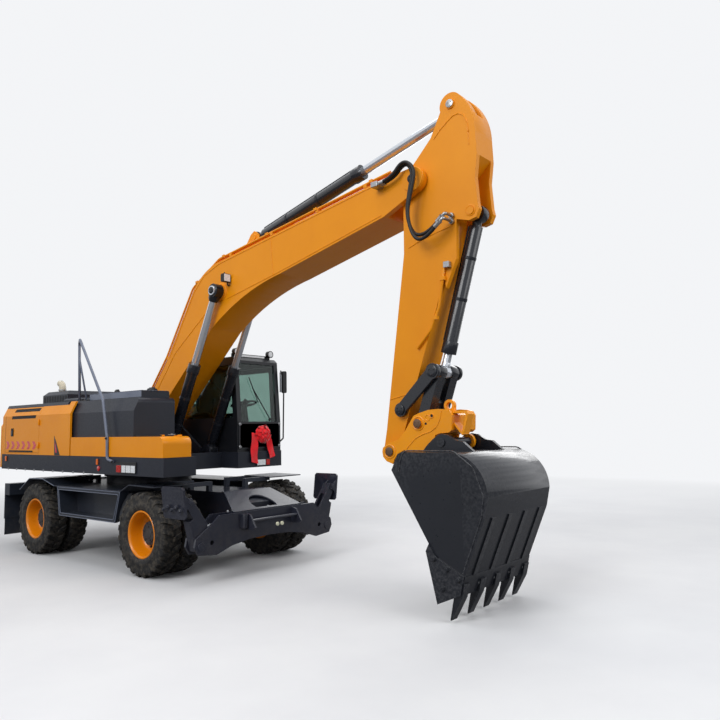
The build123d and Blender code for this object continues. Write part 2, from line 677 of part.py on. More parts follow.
def support_leg(side):
    """A folded leg: a box arm from its pin up to the foot's pin, with the cylinder's ears on top."""
    x = (SUPPORT_MID_X - LEG_HALF, SUPPORT_MID_X + LEG_HALF)
    points = [
        (SUPPORT_PIVOT_Y - 70, SUPPORT_PIVOT_Z - 20),
        (SUPPORT_PIVOT_Y - 20, SUPPORT_PIVOT_Z - 70),
        (SUPPORT_PIVOT_Y + 45, SUPPORT_PIVOT_Z - 55),
        (PAD_PIVOT_Y + 45, PAD_PIVOT_Z - 15),
        (PAD_PIVOT_Y + 40, PAD_PIVOT_Z + 35),
        (PAD_PIVOT_Y - 30, PAD_PIVOT_Z + 48),
        (PAD_PIVOT_Y - 80, PAD_PIVOT_Z - 20),
        (SUPPORT_ROD_EYE_Y - 50, SUPPORT_ROD_EYE_Z + 60),
        (SUPPORT_ROD_EYE_Y - 68, SUPPORT_ROD_EYE_Z - 30),
    ]
    leg = front_plate(points, *x)
    axis_x = Rot(0, 90, 0)
    pin = Pos(SUPPORT_MID_X, SUPPORT_PIVOT_Y, SUPPORT_PIVOT_Z) * axis_x
    leg += pin * Cylinder(MAIN_PIN_RADIUS, SUPPORT_FACE_X - SUPPORT_BACK_X + 24)
    # The channel that the cylinder swings in, open between the two stub pins
    slot = [
        (SUPPORT_ROD_EYE_Y - 120, SUPPORT_PIVOT_Z - 90),
        (SUPPORT_PIVOT_Y + 22, SUPPORT_PIVOT_Z - 90),
        (SUPPORT_PIVOT_Y + 32, SUPPORT_PIVOT_Z + 60),
        (SUPPORT_ROD_EYE_Y + 110, SUPPORT_ROD_EYE_Z + 230),
        (SUPPORT_ROD_EYE_Y - 120, SUPPORT_ROD_EYE_Z + 230),
    ]
    leg -= front_plate(slot, SUPPORT_MID_X - LEG_SLOT_HALF, SUPPORT_MID_X + LEG_SLOT_HALF)
    # The notch that the foot tilts into
    notch = Box(3 * LEG_HALF, 120, PAD_HEIGHT / 2 + 12, align=(Align.CENTER, Align.MIN, Align.MAX))
    place = Pos(SUPPORT_MID_X, PAD_PIVOT_Y, PAD_PIVOT_Z) * Rot(-PAD_TILT - PAD_TILT_RANGE, 0, 0)
    leg -= place * Pos(0, PAD_BACK - SIDE_PLAY, 0) * notch
    foot_pin = Pos(SUPPORT_MID_X, PAD_PIVOT_Y, PAD_PIVOT_Z) * axis_x
    leg += foot_pin * Cylinder(26, 2 * LEG_HALF + 60)
    return leg if side > 0 else mirrored(leg)


def support_pad(side):
    """The foot: a dished plate with two ears on the leg's pin."""
    tilt = PAD_TILT
    x_mid = SUPPORT_MID_X
    place = Pos(x_mid, PAD_PIVOT_Y, PAD_PIVOT_Z) * Rot(-tilt, 0, 0)
    back = PAD_BACK
    pad = Pos(PAD_SHIFT, back + PAD_THICKNESS / 2, 0) * Box(PAD_LENGTH, PAD_THICKNESS, PAD_HEIGHT)
    pad = chamfer(pad.edges().filter_by(Axis.Y), 28)
    for x in (-1, 1):
        low, high = sorted((x * (LEG_HALF + SIDE_PLAY), x * (LEG_HALF + SIDE_PLAY + 18)))
        ear = front_plate([(-34, -34), (20, -45), (back, -90), (back, 90), (20, 45), (-34, 34)], low, high)
        ear -= Pos((low + high) / 2, 0, 0) * Rot(0, 90, 0) * Cylinder(26 + PIN_PLAY, 60)
        pad += ear
    pad = place * pad
    return pad if side > 0 else mirrored(pad)


def support_barrel(side):
    """A leg cylinder's barrel, open at its gland."""
    start = (SUPPORT_CYLINDER_Y, SUPPORT_CYLINDER_Z)
    end = (SUPPORT_ROD_EYE_Y, SUPPORT_ROD_EYE_Z)
    foot = (SUPPORT_MID_X, *start)
    mouth = (SUPPORT_MID_X, *along(start, end, SUPPORT_BARREL_LENGTH))
    inside = (SUPPORT_MID_X, *along(start, end, 110))
    beyond = (SUPPORT_MID_X, *along(start, end, SUPPORT_BARREL_LENGTH + 20))
    base = (SUPPORT_MID_X, *along(start, end, 90))
    eye = Pos(*foot) * Rot(0, 90, 0) * Cylinder(42, 50)
    barrel = bar(foot, base, 24) + bar(base, mouth, 48) + eye - bar(inside, beyond, 28 + PIN_PLAY)
    barrel -= Pos(*foot) * Rot(0, 90, 0) * Cylinder(SUPPORT_CYLINDER_PIN + PIN_PLAY, 80)
    return barrel if side > 0 else mirrored(barrel)


def support_rod(side):
    """A leg cylinder's rod with its eye between the leg's cheeks."""
    start = (SUPPORT_CYLINDER_Y, SUPPORT_CYLINDER_Z)
    end = (SUPPORT_ROD_EYE_Y, SUPPORT_ROD_EYE_Z)
    tail = (SUPPORT_MID_X, *along(end, start, SUPPORT_ROD_LENGTH))
    rod = bar(tail, (SUPPORT_MID_X, *end), 28) + Pos(SUPPORT_MID_X, *end) * Rot(0, 90, 0) * Cylinder(42, 56)
    return rod if side > 0 else mirrored(rod)


# Upper structure

def upper_frame():
    """The slewing deck with its skirt, the boom's foot brackets and the cylinders' feet."""
    side = BODY_HALF_WIDTH
    front = [
        (RIGHT_FRONT_X, -side),
        (RIGHT_FRONT_X, TOOLBOX_INNER_Y + 60),
        (CENTRE_FRONT_X + 120, TOOLBOX_INNER_Y + 240),
        (CENTRE_FRONT_X, -BOOM_CYLINDER_Y - 120),
        (CENTRE_FRONT_X, CAB_INNER_Y - 20),
        (CAB_FRONT_X + 40, CAB_INNER_Y - 20),
        (CAB_FRONT_X + 40, side),
    ]
    rear = [(COUNTERWEIGHT_FRONT_X + SEAT_GAP, side), (COUNTERWEIGHT_FRONT_X + SEAT_GAP, -side)]
    deck = deck_plate(front + rear, DECK_BOTTOM, DECK_TOP)
    base_height = DECK_BOTTOM - SLEW_TOP
    base = Pos(SLEW_X, 0, SLEW_TOP + base_height / 2) * Cylinder(SLEW_RADIUS, base_height)
    frame = deck + base
    bracket = [
        (BOOM_FOOT[0] - 340, DECK_TOP - 20),
        (BOOM_FOOT[0] - 130, BOOM_FOOT[1] + 60),
        (BOOM_FOOT[0] - 60, BOOM_FOOT[1] + 130),
        (BOOM_FOOT[0] + 60, BOOM_FOOT[1] + 130),
        (BOOM_FOOT[0] + 130, BOOM_FOOT[1] + 50),
        (BOOM_CYLINDER_FOOT[0] - 120, DECK_TOP + 60),
        (BOOM_CYLINDER_FOOT[0] - 120, DECK_TOP - 20),
    ]
    near = BOOM_HALF_WIDTH + SIDE_PLAY
    frame += both_sides(plate(bracket, near, near + 40))
    frame += cross_pin(BOOM_FOOT, -near - 60, near + 60, MAIN_PIN_RADIUS)
    # Ears for the feet of the boom cylinders
    ear = [
        (BOOM_CYLINDER_FOOT[0] - 130, DECK_TOP - 20),
        (BOOM_CYLINDER_FOOT[0] - 80, BOOM_CYLINDER_FOOT[1] + 20),
        (BOOM_CYLINDER_FOOT[0] - 40, BOOM_CYLINDER_FOOT[1] + 75),
        (BOOM_CYLINDER_FOOT[0] + 30, BOOM_CYLINDER_FOOT[1] + 80),
        (BOOM_CYLINDER_FOOT[0] + 80, BOOM_CYLINDER_FOOT[1] + 30),
        (BOOM_CYLINDER_FOOT[0] + 92, DECK_TOP - 20),
    ]
    half_eye = EYE_WIDTH / 2 + 2
    for y_low in (BOOM_CYLINDER_Y - half_eye - 22, BOOM_CYLINDER_Y + half_eye):
        frame += both_sides(plate(ear, y_low, y_low + 22))
    recess = cross_pin(
        BOOM_CYLINDER_FOOT, BOOM_CYLINDER_Y - half_eye, BOOM_CYLINDER_Y + half_eye, EYE_RADIUS + 22
    )
    # Troughs in the deck's edge that the barrels lie in with the boom down
    low = BARREL_LOW_ANGLE
    trough_end = (BOOM_CYLINDER_FOOT[0] + 700 * math.cos(low), BOOM_CYLINDER_FOOT[1] + 700 * math.sin(low))
    trough_start = along(BOOM_CYLINDER_FOOT, trough_end, FOOT_NECK - 15)
    trough_y = BOOM_CYLINDER_Y
    recess += bar(at_y(trough_start, trough_y), at_y(trough_end, trough_y), BARREL_RADIUS + 2 * SIDE_PLAY)
    frame -= both_sides(recess)
    frame += both_sides(
        cross_pin(BOOM_CYLINDER_FOOT, BOOM_CYLINDER_Y - half_eye - 26, BOOM_CYLINDER_Y + half_eye + 26, 38)
    )
    return frame


def counterweight():
    """The cast counterweight: a curved tail with chamfered top corners."""
    side = BODY_HALF_WIDTH
    front = COUNTERWEIGHT_FRONT_X
    tail_x = SLEW_X - TAIL_RADIUS
    corner_x = front - 110
    tail = make_face(
        Polyline((corner_x, -side + 60), (corner_x + 40, -side), (front, -side), (front, side), (
            corner_x + 40, side
        ),
                 (corner_x, side - 60))
        + ThreePointArc((corner_x, side - 60), (tail_x, 0), (corner_x, -side + 60))
    )
    shape = extrude(Pos(0, 0, DECK_BOTTOM + 20) * tail, COUNTERWEIGHT_TOP - DECK_BOTTOM - 20, dir=(0, 0, 1))
    # The top edges are cut back
    cut = front_plate(
        [
            (side - 150, COUNTERWEIGHT_TOP + 1),
            (side + 1, COUNTERWEIGHT_TOP + 1),
            (side + 1, COUNTERWEIGHT_TOP - 170),
        ],
        tail_x - 50,
        front + 50,
    )
    shape -= both_sides(cut)
    back_cut = plate(
        [(tail_x - 1, COUNTERWEIGHT_TOP + 1), (tail_x + 170, COUNTERWEIGHT_TOP + 1), (tail_x - 1, 1900)],
        -side,
        side,
    )
    return shape - back_cut


def house_form(x, inset, low, top):
    """A length of the house: upright sides that lean inward above their crease, moved in by an inset."""
    foot = BODY_HALF_WIDTH - inset
    shoulder = foot - HOUSE_LEAN * (top - HOUSE_CREASE_Z) / (HOUSE_TOP - HOUSE_CREASE_Z)
    half = [(foot, low), (foot, HOUSE_CREASE_Z), (shoulder, top)]
    outline = half + [(-y, z) for y, z in reversed(half)]
    return front_plate(outline, *x)


def engine_house():
    """House walls behind the cab and boom, a bulkhead and a longer right side that laps the tank."""
    side = BODY_HALF_WIDTH
    wall = HOUSE_WALL
    top = HOUSE_TOP - HOOD_THICKNESS - SEAT_GAP
    low = DECK_TOP + SEAT_GAP
    x = (COUNTERWEIGHT_FRONT_X + SEAT_GAP, HOUSE_FRONT_X)
    house = house_form(x, 0, low, top) - house_form((x[0] - 1, x[1] - wall), wall, low - 1, top + 1)
    lap_x = (HOUSE_FRONT_X - 1, HOUSE_SIDE_FRONT_X)
    lap = house_form(lap_x, 0, low, HOUSE_TOP) - house_form(
        (lap_x[0] - 1, lap_x[1] + 1), wall, low - 1, HOUSE_TOP + 1
    )
    house += lap & block(lap_x, (-side - 1, 0), (low, HOUSE_TOP))
    opening = block(
        (DOOR_REAR_X - SIDE_PLAY, DOOR_FRONT_X + SIDE_PLAY), (0, side + 10), (
            DOOR_BOTTOM - SIDE_PLAY, top + 5
        )
    )
    return house - both_sides(opening)


def side_y(z):
    """How far out the house's side stands at a height."""
    return BODY_HALF_WIDTH - max(0, HOUSE_LEAN * (z - HOUSE_CREASE_Z) / (HOUSE_TOP - HOUSE_CREASE_Z))


def side_door(side):
    """A rear side door that follows the leaning shoulder, with two louvre slots."""
    y = (BODY_HALF_WIDTH - DOOR_THICKNESS, BODY_HALF_WIDTH)
    top = HOUSE_TOP - HOOD_THICKNESS - SIDE_PLAY
    x = (DOOR_REAR_X, DOOR_FRONT_X)
    door = house_form(x, 0, DOOR_BOTTOM, top)
    door -= house_form((x[0] - 1, x[1] + 1), DOOR_THICKNESS, DOOR_BOTTOM - 1, top + 1)
    door = door & block(x, (0, y[1] + 1), (DOOR_BOTTOM, top))
    # Two long louvres, one above and one below the crease
    for low_z, left, right in ((HOUSE_CREASE_Z + 60, 215, 1085), (HOUSE_CREASE_Z - 45, 185, 1020)):
        slot = plate(
            [
                (x[0] + left, low_z),
                (x[0] + right - 25, low_z),
                (x[0] + right, low_z + 48),
                (x[0] + left + 25, low_z + 48),
            ],
            0, side_y(low_z + 24) + 30,
        )
        door -= slot & (house_form(x, -5, DOOR_BOTTOM, top) - house_form(x, 10, DOOR_BOTTOM, top))
    for z in (DOOR_BOTTOM + 110, HOUSE_CREASE_Z - 110):
        door += Pos(DOOR_FRONT_X + HINGE_RADIUS, y[1] + HINGE_RADIUS + SEAT_GAP, z) * Cylinder(
            HINGE_RADIUS, 90
        )
        door += block((DOOR_FRONT_X - 30, DOOR_FRONT_X), (y[1] - 3, y[1] + 6), (z - 40, z + 40))
        door += block(
            (DOOR_FRONT_X - 1, DOOR_FRONT_X + HINGE_RADIUS), (y[1] + SEAT_GAP, y[1] + 6), (z - 40, z + 40)
        )
    return door if side > 0 else mirrored(door)


def engine_hood():
    """The hood over the engine, hinged at its front edge, with a tall bulge and a low step."""
    x = (COUNTERWEIGHT_FRONT_X + SEAT_GAP, HOUSE_FRONT_X - 60)
    low = HOUSE_TOP - HOOD_THICKNESS
    lid = house_form(x, 0, HOUSE_CREASE_Z - 20, HOUSE_TOP)
    lid -= block(
        (x[0] - 1, x[1] + 1), (-BODY_HALF_WIDTH - 1, BODY_HALF_WIDTH + 1), (HOUSE_CREASE_Z - 21, low)
    )
    raised = block(HOOD_BULGE_X, HOOD_BULGE_Y, (HOUSE_TOP - 1, HOUSE_TOP + HOOD_BULGE_HEIGHT))
    raised = chamfer(raised.faces().sort_by(Axis.Z)[-1].edges(), 60)
    step_x = (HOOD_BULGE_X[1] - 1, x[1] - 90)
    step = block(step_x, (HOOD_BULGE_Y[0] - 60, HOOD_BULGE_Y[1]), (HOUSE_TOP - 1, HOUSE_TOP + 70))
    raised += chamfer(step.faces().sort_by(Axis.Z)[-1].edges(), 25)
    hood = lid + raised
    for y in (-HOOD_HINGE_Y, HOOD_HINGE_Y):
        hood += cross_pin((HOOD_HINGE_X, HOOD_HINGE_Z), y - 70, y + 70, HOOD_HINGE_RADIUS)
        hood += block((x[1] - 10, HOOD_HINGE_X), (y - 50, y + 50), (low + 6, HOOD_HINGE_Z))
    return hood


def engine_block():
    """The engine, one plain block on the deck inside the house."""
    z = (DECK_TOP + SEAT_GAP, DECK_TOP + 560)
    return block((-2050, -1250), (-620, 520), z)


def tank_cover():
    """The dark cover over the tanks: a leaning shoulder, a rounded front and a ledge to step on."""
    x = (TANK_REAR_X, TANK_FRONT_X)
    low = DECK_TOP + SEAT_GAP
    body = house_form(x, BODY_HALF_WIDTH - TANK_OUTER_Y, low, TANK_TOP)
    body = body & block(x, (-TANK_OUTER_Y - 1, TANK_INNER_Y), (low, TANK_TOP))
    front = block(
        (x[1] - 70, x[1] + 1), (-TANK_OUTER_Y - 1, TANK_INNER_Y + 1), (TANK_TOP - 70, TANK_TOP + 1)
    )
    front -= Pos(x[1] - 70, -900, TANK_TOP - 70) * Rot(90, 0, 0) * Cylinder(70, 900)
    ledge = block(ROOF_LEDGE_X, ROOF_LEDGE_Y, (TANK_TOP - 1, TANK_TOP + ROOF_LEDGE_HEIGHT))
    return (body - front) + chamfer(ledge.faces().sort_by(Axis.Z)[-1].edges(), 12)


def low_boxes():
    """The fixed low box beside the tank and the toolbox shell in front of it."""
    y = (-BODY_HALF_WIDTH, -TANK_OUTER_Y - SEAT_GAP)
    shelf = block((-310, TOOLBOX_REAR_X - 6), y, (DECK_TOP + SEAT_GAP, LOW_BOX_TOP))
    outer_y = (-BODY_HALF_WIDTH, TOOLBOX_INNER_Y)
    rear = TANK_FRONT_X + SEAT_GAP
    low = DECK_TOP + SEAT_GAP
    side_part = block((TOOLBOX_REAR_X, rear), y, (low, LOW_BOX_TOP))
    box = block((rear, TOOLBOX_FRONT_X), outer_y, (low, LOW_BOX_TOP))
    front_edges = box.edges().filter_by(Axis.Y).group_by(Axis.X)[-1].sort_by(Axis.Z)
    box = fillet(front_edges[-1], 90)
    inner = block(
        (rear + 24, TOOLBOX_FRONT_X - 60),
        (outer_y[0] + 24, outer_y[1] - 24),
        (low + 20, LOW_BOX_TOP - LID_THICKNESS),
    )
    opening = block(
        (rear + 40, TOOLBOX_FRONT_X - 110),
        (outer_y[0] + 60, outer_y[1] - 24),
        (LOW_BOX_TOP - 60, LOW_BOX_TOP + 5),
    )
    return shelf + side_part + (box - inner - opening)


def toolbox_lid():
    """The toolbox's lid, hinged along its inner edge."""
    rear = TANK_FRONT_X + SEAT_GAP
    lid = block(
        (rear + 40 + SIDE_PLAY, TOOLBOX_FRONT_X - 110 - SIDE_PLAY),
        (-BODY_HALF_WIDTH + 60 + SIDE_PLAY, LID_EDGE_Y),
        (LOW_BOX_TOP - LID_THICKNESS, LOW_BOX_TOP),
    )
    top = LOW_BOX_TOP + SEAT_GAP
    for x in (rear + 130, TOOLBOX_FRONT_X - 220):
        lid += Pos(x, LID_HINGE_Y, top + LID_HINGE_RADIUS) * Rot(0, 90, 0) * Cylinder(LID_HINGE_RADIUS, 80)
        lid += block(
            (x - 30, x + 30), (LID_EDGE_Y - 50, LID_EDGE_Y), (LOW_BOX_TOP - 2, top + LID_HINGE_RADIUS)
        )
        lid += block((x - 30, x + 30), (LID_EDGE_Y - 1, LID_HINGE_Y), (top + 2, top + LID_HINGE_RADIUS))
    return lid


def rail(points, radius, bend):
    """A bent tube through points."""
    path = FilletPolyline(*points, radius=bend) if len(points) > 2 else Line(*points)
    start = path % 0
    return sweep(Plane(origin=points[0], z_dir=start) * Circle(radius), path=path)


def handrails():
    """The access rail on the right: up beside the steps, over and down to the roof, with a brace."""
    y = -BODY_HALF_WIDTH - RAIL_RADIUS - SEAT_GAP
    roof = TANK_TOP + SEAT_GAP
    below = roof - 12
    rear_foot = (TANK_REAR_X + 24, RAIL_REAR_Y, below)
    rear_top = (TANK_REAR_X - 18, RAIL_REAR_Y, RAIL_TOP - 15)
    side_rail = rail(
        [
            (LADDER_RAIL_X + 150, y, DECK_TOP - 58),
            (LADDER_RAIL_X + 10, y, DECK_TOP - 30),
            (LADDER_RAIL_X, y, LOW_BOX_TOP),
            (LADDER_RAIL_X - 118, y, HOUSE_TOP - 25),
            (LADDER_RAIL_X - 890, y + 70, RAIL_TOP),
            rear_top,
            rear_foot,
        ],
        RAIL_RADIUS,
        55,
    )
    share = 0.74
    start = tuple(f + (t - f) * share for f, t in zip(rear_foot, rear_top))
    brace = bar(start, (ROOF_LEDGE_X[0] - 30, RAIL_REAR_Y, below), RAIL_BRACE_RADIUS)
    feet_x = (TANK_REAR_X - 60, ROOF_LEDGE_X[0] + 60)
    feet_y = (RAIL_REAR_Y - 60, RAIL_REAR_Y + 60)
    return side_rail + brace - block(feet_x, feet_y, (roof - 60, roof))


def exhaust_stack():
    """The exhaust's short outlet on the hood, bent backward at its mouth."""
    low = HOUSE_TOP + HOOD_BULGE_HEIGHT + SEAT_GAP
    mouth = (EXHAUST_X - 78, low + 128)
    path = Line((EXHAUST_X, EXHAUST_Y, low), (EXHAUST_X, EXHAUST_Y, low + 50))
    path += ThreePointArc(
        (EXHAUST_X, EXHAUST_Y, low + 50), (EXHAUST_X - 23, EXHAUST_Y, low + 105), (
            mouth[0], EXHAUST_Y, mouth[1]
        )
    )
    pipe = sweep(Plane(origin=(EXHAUST_X, EXHAUST_Y, low)) * Circle(EXHAUST_RADIUS), path=path)
    mouth_plane = Plane(origin=(mouth[0], EXHAUST_Y, mouth[1]), z_dir=(-1, 0, 0))
    return pipe - mouth_plane * Pos(0, 0, -25) * Cylinder(EXHAUST_RADIUS - 7, 60)


def lamps():
    """Front lamps under the deck edge, roof lamps with their bar and the tail lamps."""
    y = -BODY_HALF_WIDTH
    front = block((890, 1350), (y - 14, y - SEAT_GAP), (DECK_BOTTOM + 55, DECK_BOTTOM + 170))
    left = block(
        (CAB_FRONT_X + 40 + SEAT_GAP, CAB_FRONT_X + 60), (760, 1020), (DECK_BOTTOM + 20, DECK_BOTTOM + 115)
    )
    roof_x = CAB_FRONT_X - 160
    top = CAB_ROOF + SEAT_GAP
    group = [front, left]
    for lamp_y in (CAB_INNER_Y + 90, CAB_OUTER_Y - 90):
        foot = Pos(roof_x, lamp_y, top + 20) * Cylinder(14, 40)
        head = Pos(roof_x + 10, lamp_y, top + 82) * Rot(0, 90, 0) * Cylinder(52, 60)
        group.append(foot + head)
    group.append(block((roof_x - 60, roof_x - 40), (CAB_INNER_Y + 60, CAB_OUTER_Y - 60), (top, top + 60)))
    return as_one(*group)


# Cab

def cab_section():
    """The cab's side outline as (x, z) points: a leaning windshield and a sloped roof front."""
    return [
        (CAB_REAR_X, DECK_TOP + SEAT_GAP),
        (CAB_REAR_X, CAB_ROOF - 60),
        (CAB_REAR_X + 90, CAB_ROOF),
        (CAB_FRONT_X - 130, CAB_ROOF),
        (CAB_FRONT_X - 70, CAB_ROOF - 50),
        (CAB_FRONT_X, WAIST_Z),
        (CAB_FRONT_X, DECK_TOP + SEAT_GAP),
    ]


def inset_cab(points, by):
    """The cab outline moved in by a wall on every side."""
    middle_x = (CAB_REAR_X + CAB_FRONT_X) / 2
    middle_z = (DECK_TOP + CAB_ROOF) / 2
    moved = []
    for x, z in points:
        moved.append((x - math.copysign(by, x - middle_x), z - math.copysign(by, z - middle_z)))
    return moved


def cab_shell():
    """The cab's frame: hollow, with openings for the windows and the door."""
    y = (CAB_INNER_Y, CAB_OUTER_Y)
    wall = CAB_WALL
    shell = plate(cab_section(), *y)
    inside = plate(inset_cab(cab_section(), wall), y[0] + wall, y[1] - wall)
    shell -= inside
    post = CAB_POST
    front_x = (CAB_FRONT_X - 160, CAB_FRONT_X + 20)
    windshield = block(front_x, (y[0] + post, y[1] - post), (WAIST_Z, CAB_ROOF - 95))
    lower = block(front_x, (y[0] + post, y[1] - post), (DECK_TOP + 90, WAIST_Z - 45))
    rear = block(
        (CAB_REAR_X - 20, CAB_REAR_X + wall + 60), (y[0] + post, y[1] - post), (WAIST_Z + 60, CAB_ROOF - 120)
    )
    right = plate(
        [
            (CAB_REAR_X + 110, WAIST_Z + 60),
            (CAB_REAR_X + 110, CAB_ROOF - 120),
            (CAB_FRONT_X - 170, CAB_ROOF - 120),
            (CAB_FRONT_X - 105, WAIST_Z + 60),
        ],
        y[0] - 10,
        y[0] + wall + 10,
    )
    door = plate(door_outline(0), y[1] - wall - 10, y[1] + 10)
    return shell - windshield - lower - rear - right - door


def door_outline(inset):
    """The cab door's outline, pulled in from its opening."""
    return [
        (CAB_REAR_X + 300 + inset, DECK_TOP + 45 + inset),
        (CAB_REAR_X + 300 + inset, CAB_ROOF - 110 - inset),
        (CAB_FRONT_X - 150 - inset, CAB_ROOF - 110 - inset),
        (CAB_FRONT_X - 90 - inset, WAIST_Z),
        (CAB_FRONT_X - 90 - inset, DECK_TOP + 45 + inset),
    ]


def cab_door():
    """The cab's door with its window opening."""
    y = (CAB_OUTER_Y - CAB_WALL, CAB_OUTER_Y)
    door = plate(door_outline(SIDE_PLAY), *y)
    window = [
        (CAB_REAR_X + 380, WAIST_Z - 60),
        (CAB_REAR_X + 380, CAB_ROOF - 190),
        (CAB_FRONT_X - 215, CAB_ROOF - 190),
        (CAB_FRONT_X - 165, WAIST_Z - 60),
    ]
    door -= plate(window, y[0] - 5, y[1] + 5)
    for z in (DECK_TOP + 200, CAB_ROOF - 260):
        barrel_y = y[1] + SEAT_GAP + DOOR_HINGE_RADIUS
        door += Pos(DOOR_HINGE_X, barrel_y, z) * Cylinder(DOOR_HINGE_RADIUS, 110)
        door += block((DOOR_HINGE_X + 12, DOOR_HINGE_X + 80), (y[1] - 3, barrel_y), (z - 40, z + 40))
        door += block((DOOR_HINGE_X, DOOR_HINGE_X + 14), (y[1] + SEAT_GAP, barrel_y), (z - 40, z + 40))
    return door


def cab_door_window():
    """The door's glass, seated in its opening."""
    gap = SEAT_GAP
    window = [
        (CAB_REAR_X + 380 + gap, WAIST_Z - 60 + gap),
        (CAB_REAR_X + 380 + gap, CAB_ROOF - 190 - gap),
        (CAB_FRONT_X - 215 - gap, CAB_ROOF - 190 - gap),
        (CAB_FRONT_X - 165 - gap, WAIST_Z - 60 + gap),
    ]
    middle = CAB_OUTER_Y - CAB_WALL / 2
    return plate(window, middle - GLASS_THICKNESS / 2, middle + GLASS_THICKNESS / 2)


def cab_windows():
    """The fixed panes: windshield, right side and rear."""
    gap = SEAT_GAP
    post = CAB_POST + gap
    y = (CAB_INNER_Y + post, CAB_OUTER_Y - post)
    lean = 70 / (CAB_ROOF - 50 - WAIST_Z)
    top = CAB_ROOF - 95 - gap
    bottom = WAIST_Z + gap
    front = plate(
        [
            (CAB_FRONT_X - 25, bottom),
            (CAB_FRONT_X - 25 + GLASS_THICKNESS, bottom),
            (CAB_FRONT_X - 25 + GLASS_THICKNESS - lean * (top - bottom), top),
            (CAB_FRONT_X - 25 - lean * (top - bottom), top),
        ],
        *y,
    )
    lower = block(
        (CAB_FRONT_X - 30, CAB_FRONT_X - 30 + GLASS_THICKNESS), y, (DECK_TOP + 90 + gap, WAIST_Z - 45 - gap)
    )
    rear = block(
        (CAB_REAR_X + 15, CAB_REAR_X + 15 + GLASS_THICKNESS), y, (WAIST_Z + 60 + gap, CAB_ROOF - 120 - gap)
    )
    right = plate(
        [
            (CAB_REAR_X + 110 + gap, WAIST_Z + 60 + gap),
            (CAB_REAR_X + 110 + gap, CAB_ROOF - 120 - gap),
            (CAB_FRONT_X - 170 - gap, CAB_ROOF - 120 - gap),
            (CAB_FRONT_X - 105 - gap, WAIST_Z + 60 + gap),
        ],
        CAB_INNER_Y + 15,
        CAB_INNER_Y + 15 + GLASS_THICKNESS,
    )
    return as_one(front, lower, rear, right)


def driver_seat():
    """The seat on its pedestal."""
    floor = DECK_TOP + SEAT_GAP + CAB_WALL + SEAT_GAP
    y_mid = (CAB_INNER_Y + CAB_OUTER_Y) / 2
    base = block((80, 420), (y_mid - 180, y_mid + 180), (floor, floor + 260))
    cushion = block((20, 520), (y_mid - 240, y_mid + 240), (floor + 258, floor + 390))
    cushion = fillet(cushion.edges().filter_by(Axis.Z), 50)
    back = plate(
        [(40, floor + 380), (150, floor + 380), (20, floor + 980), (-90, floor + 960)],
        y_mid - 230,
        y_mid + 230,
    )
    return base + cushion + back


def cab_controls():
    """The side consoles with their levers, the steering column and wheel and the travel pedals."""
    floor = DECK_TOP + SEAT_GAP + CAB_WALL + SEAT_GAP
    y_mid = (CAB_INNER_Y + CAB_OUTER_Y) / 2
    group = []
    for side in (-1, 1):
        y = sorted((y_mid + side * 262, y_mid + side * 350))
        console = block((60, 560), y, (floor, floor + 520))
        lever = bar((500, sum(y) / 2, floor + 515), (540, sum(y) / 2, floor + 740), 16)
        group.append(console + lever)
    column = bar((1010, y_mid, floor + 9), (880, y_mid, floor + 640), 36)
    wheel_place = Plane(origin=(872, y_mid, floor + 668), z_dir=(-0.2, 0, 0.98))
    wheel = wheel_place * Torus(185, 15)
    spokes = wheel_place * (Box(360, 26, 14) + Box(26, 360, 14))
    hub = wheel_place * Cylinder(46, 60)
    group.append(column + wheel + spokes + hub)
    return as_one(*group)


def cab_mirror():
    """The left mirror on its bent tube."""
    y = CAB_OUTER_Y + SEAT_GAP
    x = CAB_FRONT_X - 40
    tube = rail(
        [
            (x, y + 11, WAIST_Z - 320),
            (x + 60, y + 40, WAIST_Z - 260),
            (x + 60, y + 60, CAB_ROOF - 330),
            (x + 40, y + 11, CAB_ROOF - 170),
        ],
        11,
        30,
    )
    head = block((x + 36, x + 76), (y + 30, y + 108), (CAB_ROOF - 520, CAB_ROOF - 180))
    head = fillet(head.edges().filter_by(Axis.X), 25)
    return tube + head


def cab_guard():
    """The grid over the lower front pane."""
    x = CAB_FRONT_X - 2
    y = (CAB_INNER_Y + 20, CAB_OUTER_Y - 20)
    z = (DECK_TOP + 40, WAIST_Z - 10)
    frame = block((x, x + 16), y, z) - block(
        (x - 1, x + 17), (y[0] + 22, y[1] - 22), (z[0] + 22, z[1] - 22)
    )
    count = 6
    for i in range(1, count):
        z_bar = z[0] + (z[1] - z[0]) * i / count
        frame += block((x + 4, x + 12), (y[0] + 10, y[1] - 10), (z_bar - 5, z_bar + 5))
    upright = 10
    for i in range(1, upright):
        y_bar = y[0] + (y[1] - y[0]) * i / upright
        frame += block((x + 4, x + 12), (y_bar - 5, y_bar + 5), (z[0] + 10, z[1] - 10))
    return frame


def rosette():
    """The red ribbon bow tied to the guard, with its two tails."""
    x = CAB_FRONT_X + 14 + SEAT_GAP
    y = (CAB_INNER_Y + CAB_OUTER_Y) / 2 + 10
    knot = Pos(x + 50, y, WAIST_Z - 190) * Rot(0, 90, 0) * Cylinder(130, 100)
    knot = fillet(knot.edges(), 35)
    tails = []
    for side, drop in ((-1, 420), (1, 380)):
        tails.append(
            front_plate(
                [
                    (y + side * 40, WAIST_Z - 200),
                    (y + side * 120, WAIST_Z - 230),
                    (y + side * 185, WAIST_Z - drop),
                    (y + side * 100, WAIST_Z - drop - 10),
                ],
                x,
                x + 30,
            )
        )
    return knot + tails[0] + tails[1]


# Boom, arm and their cylinders

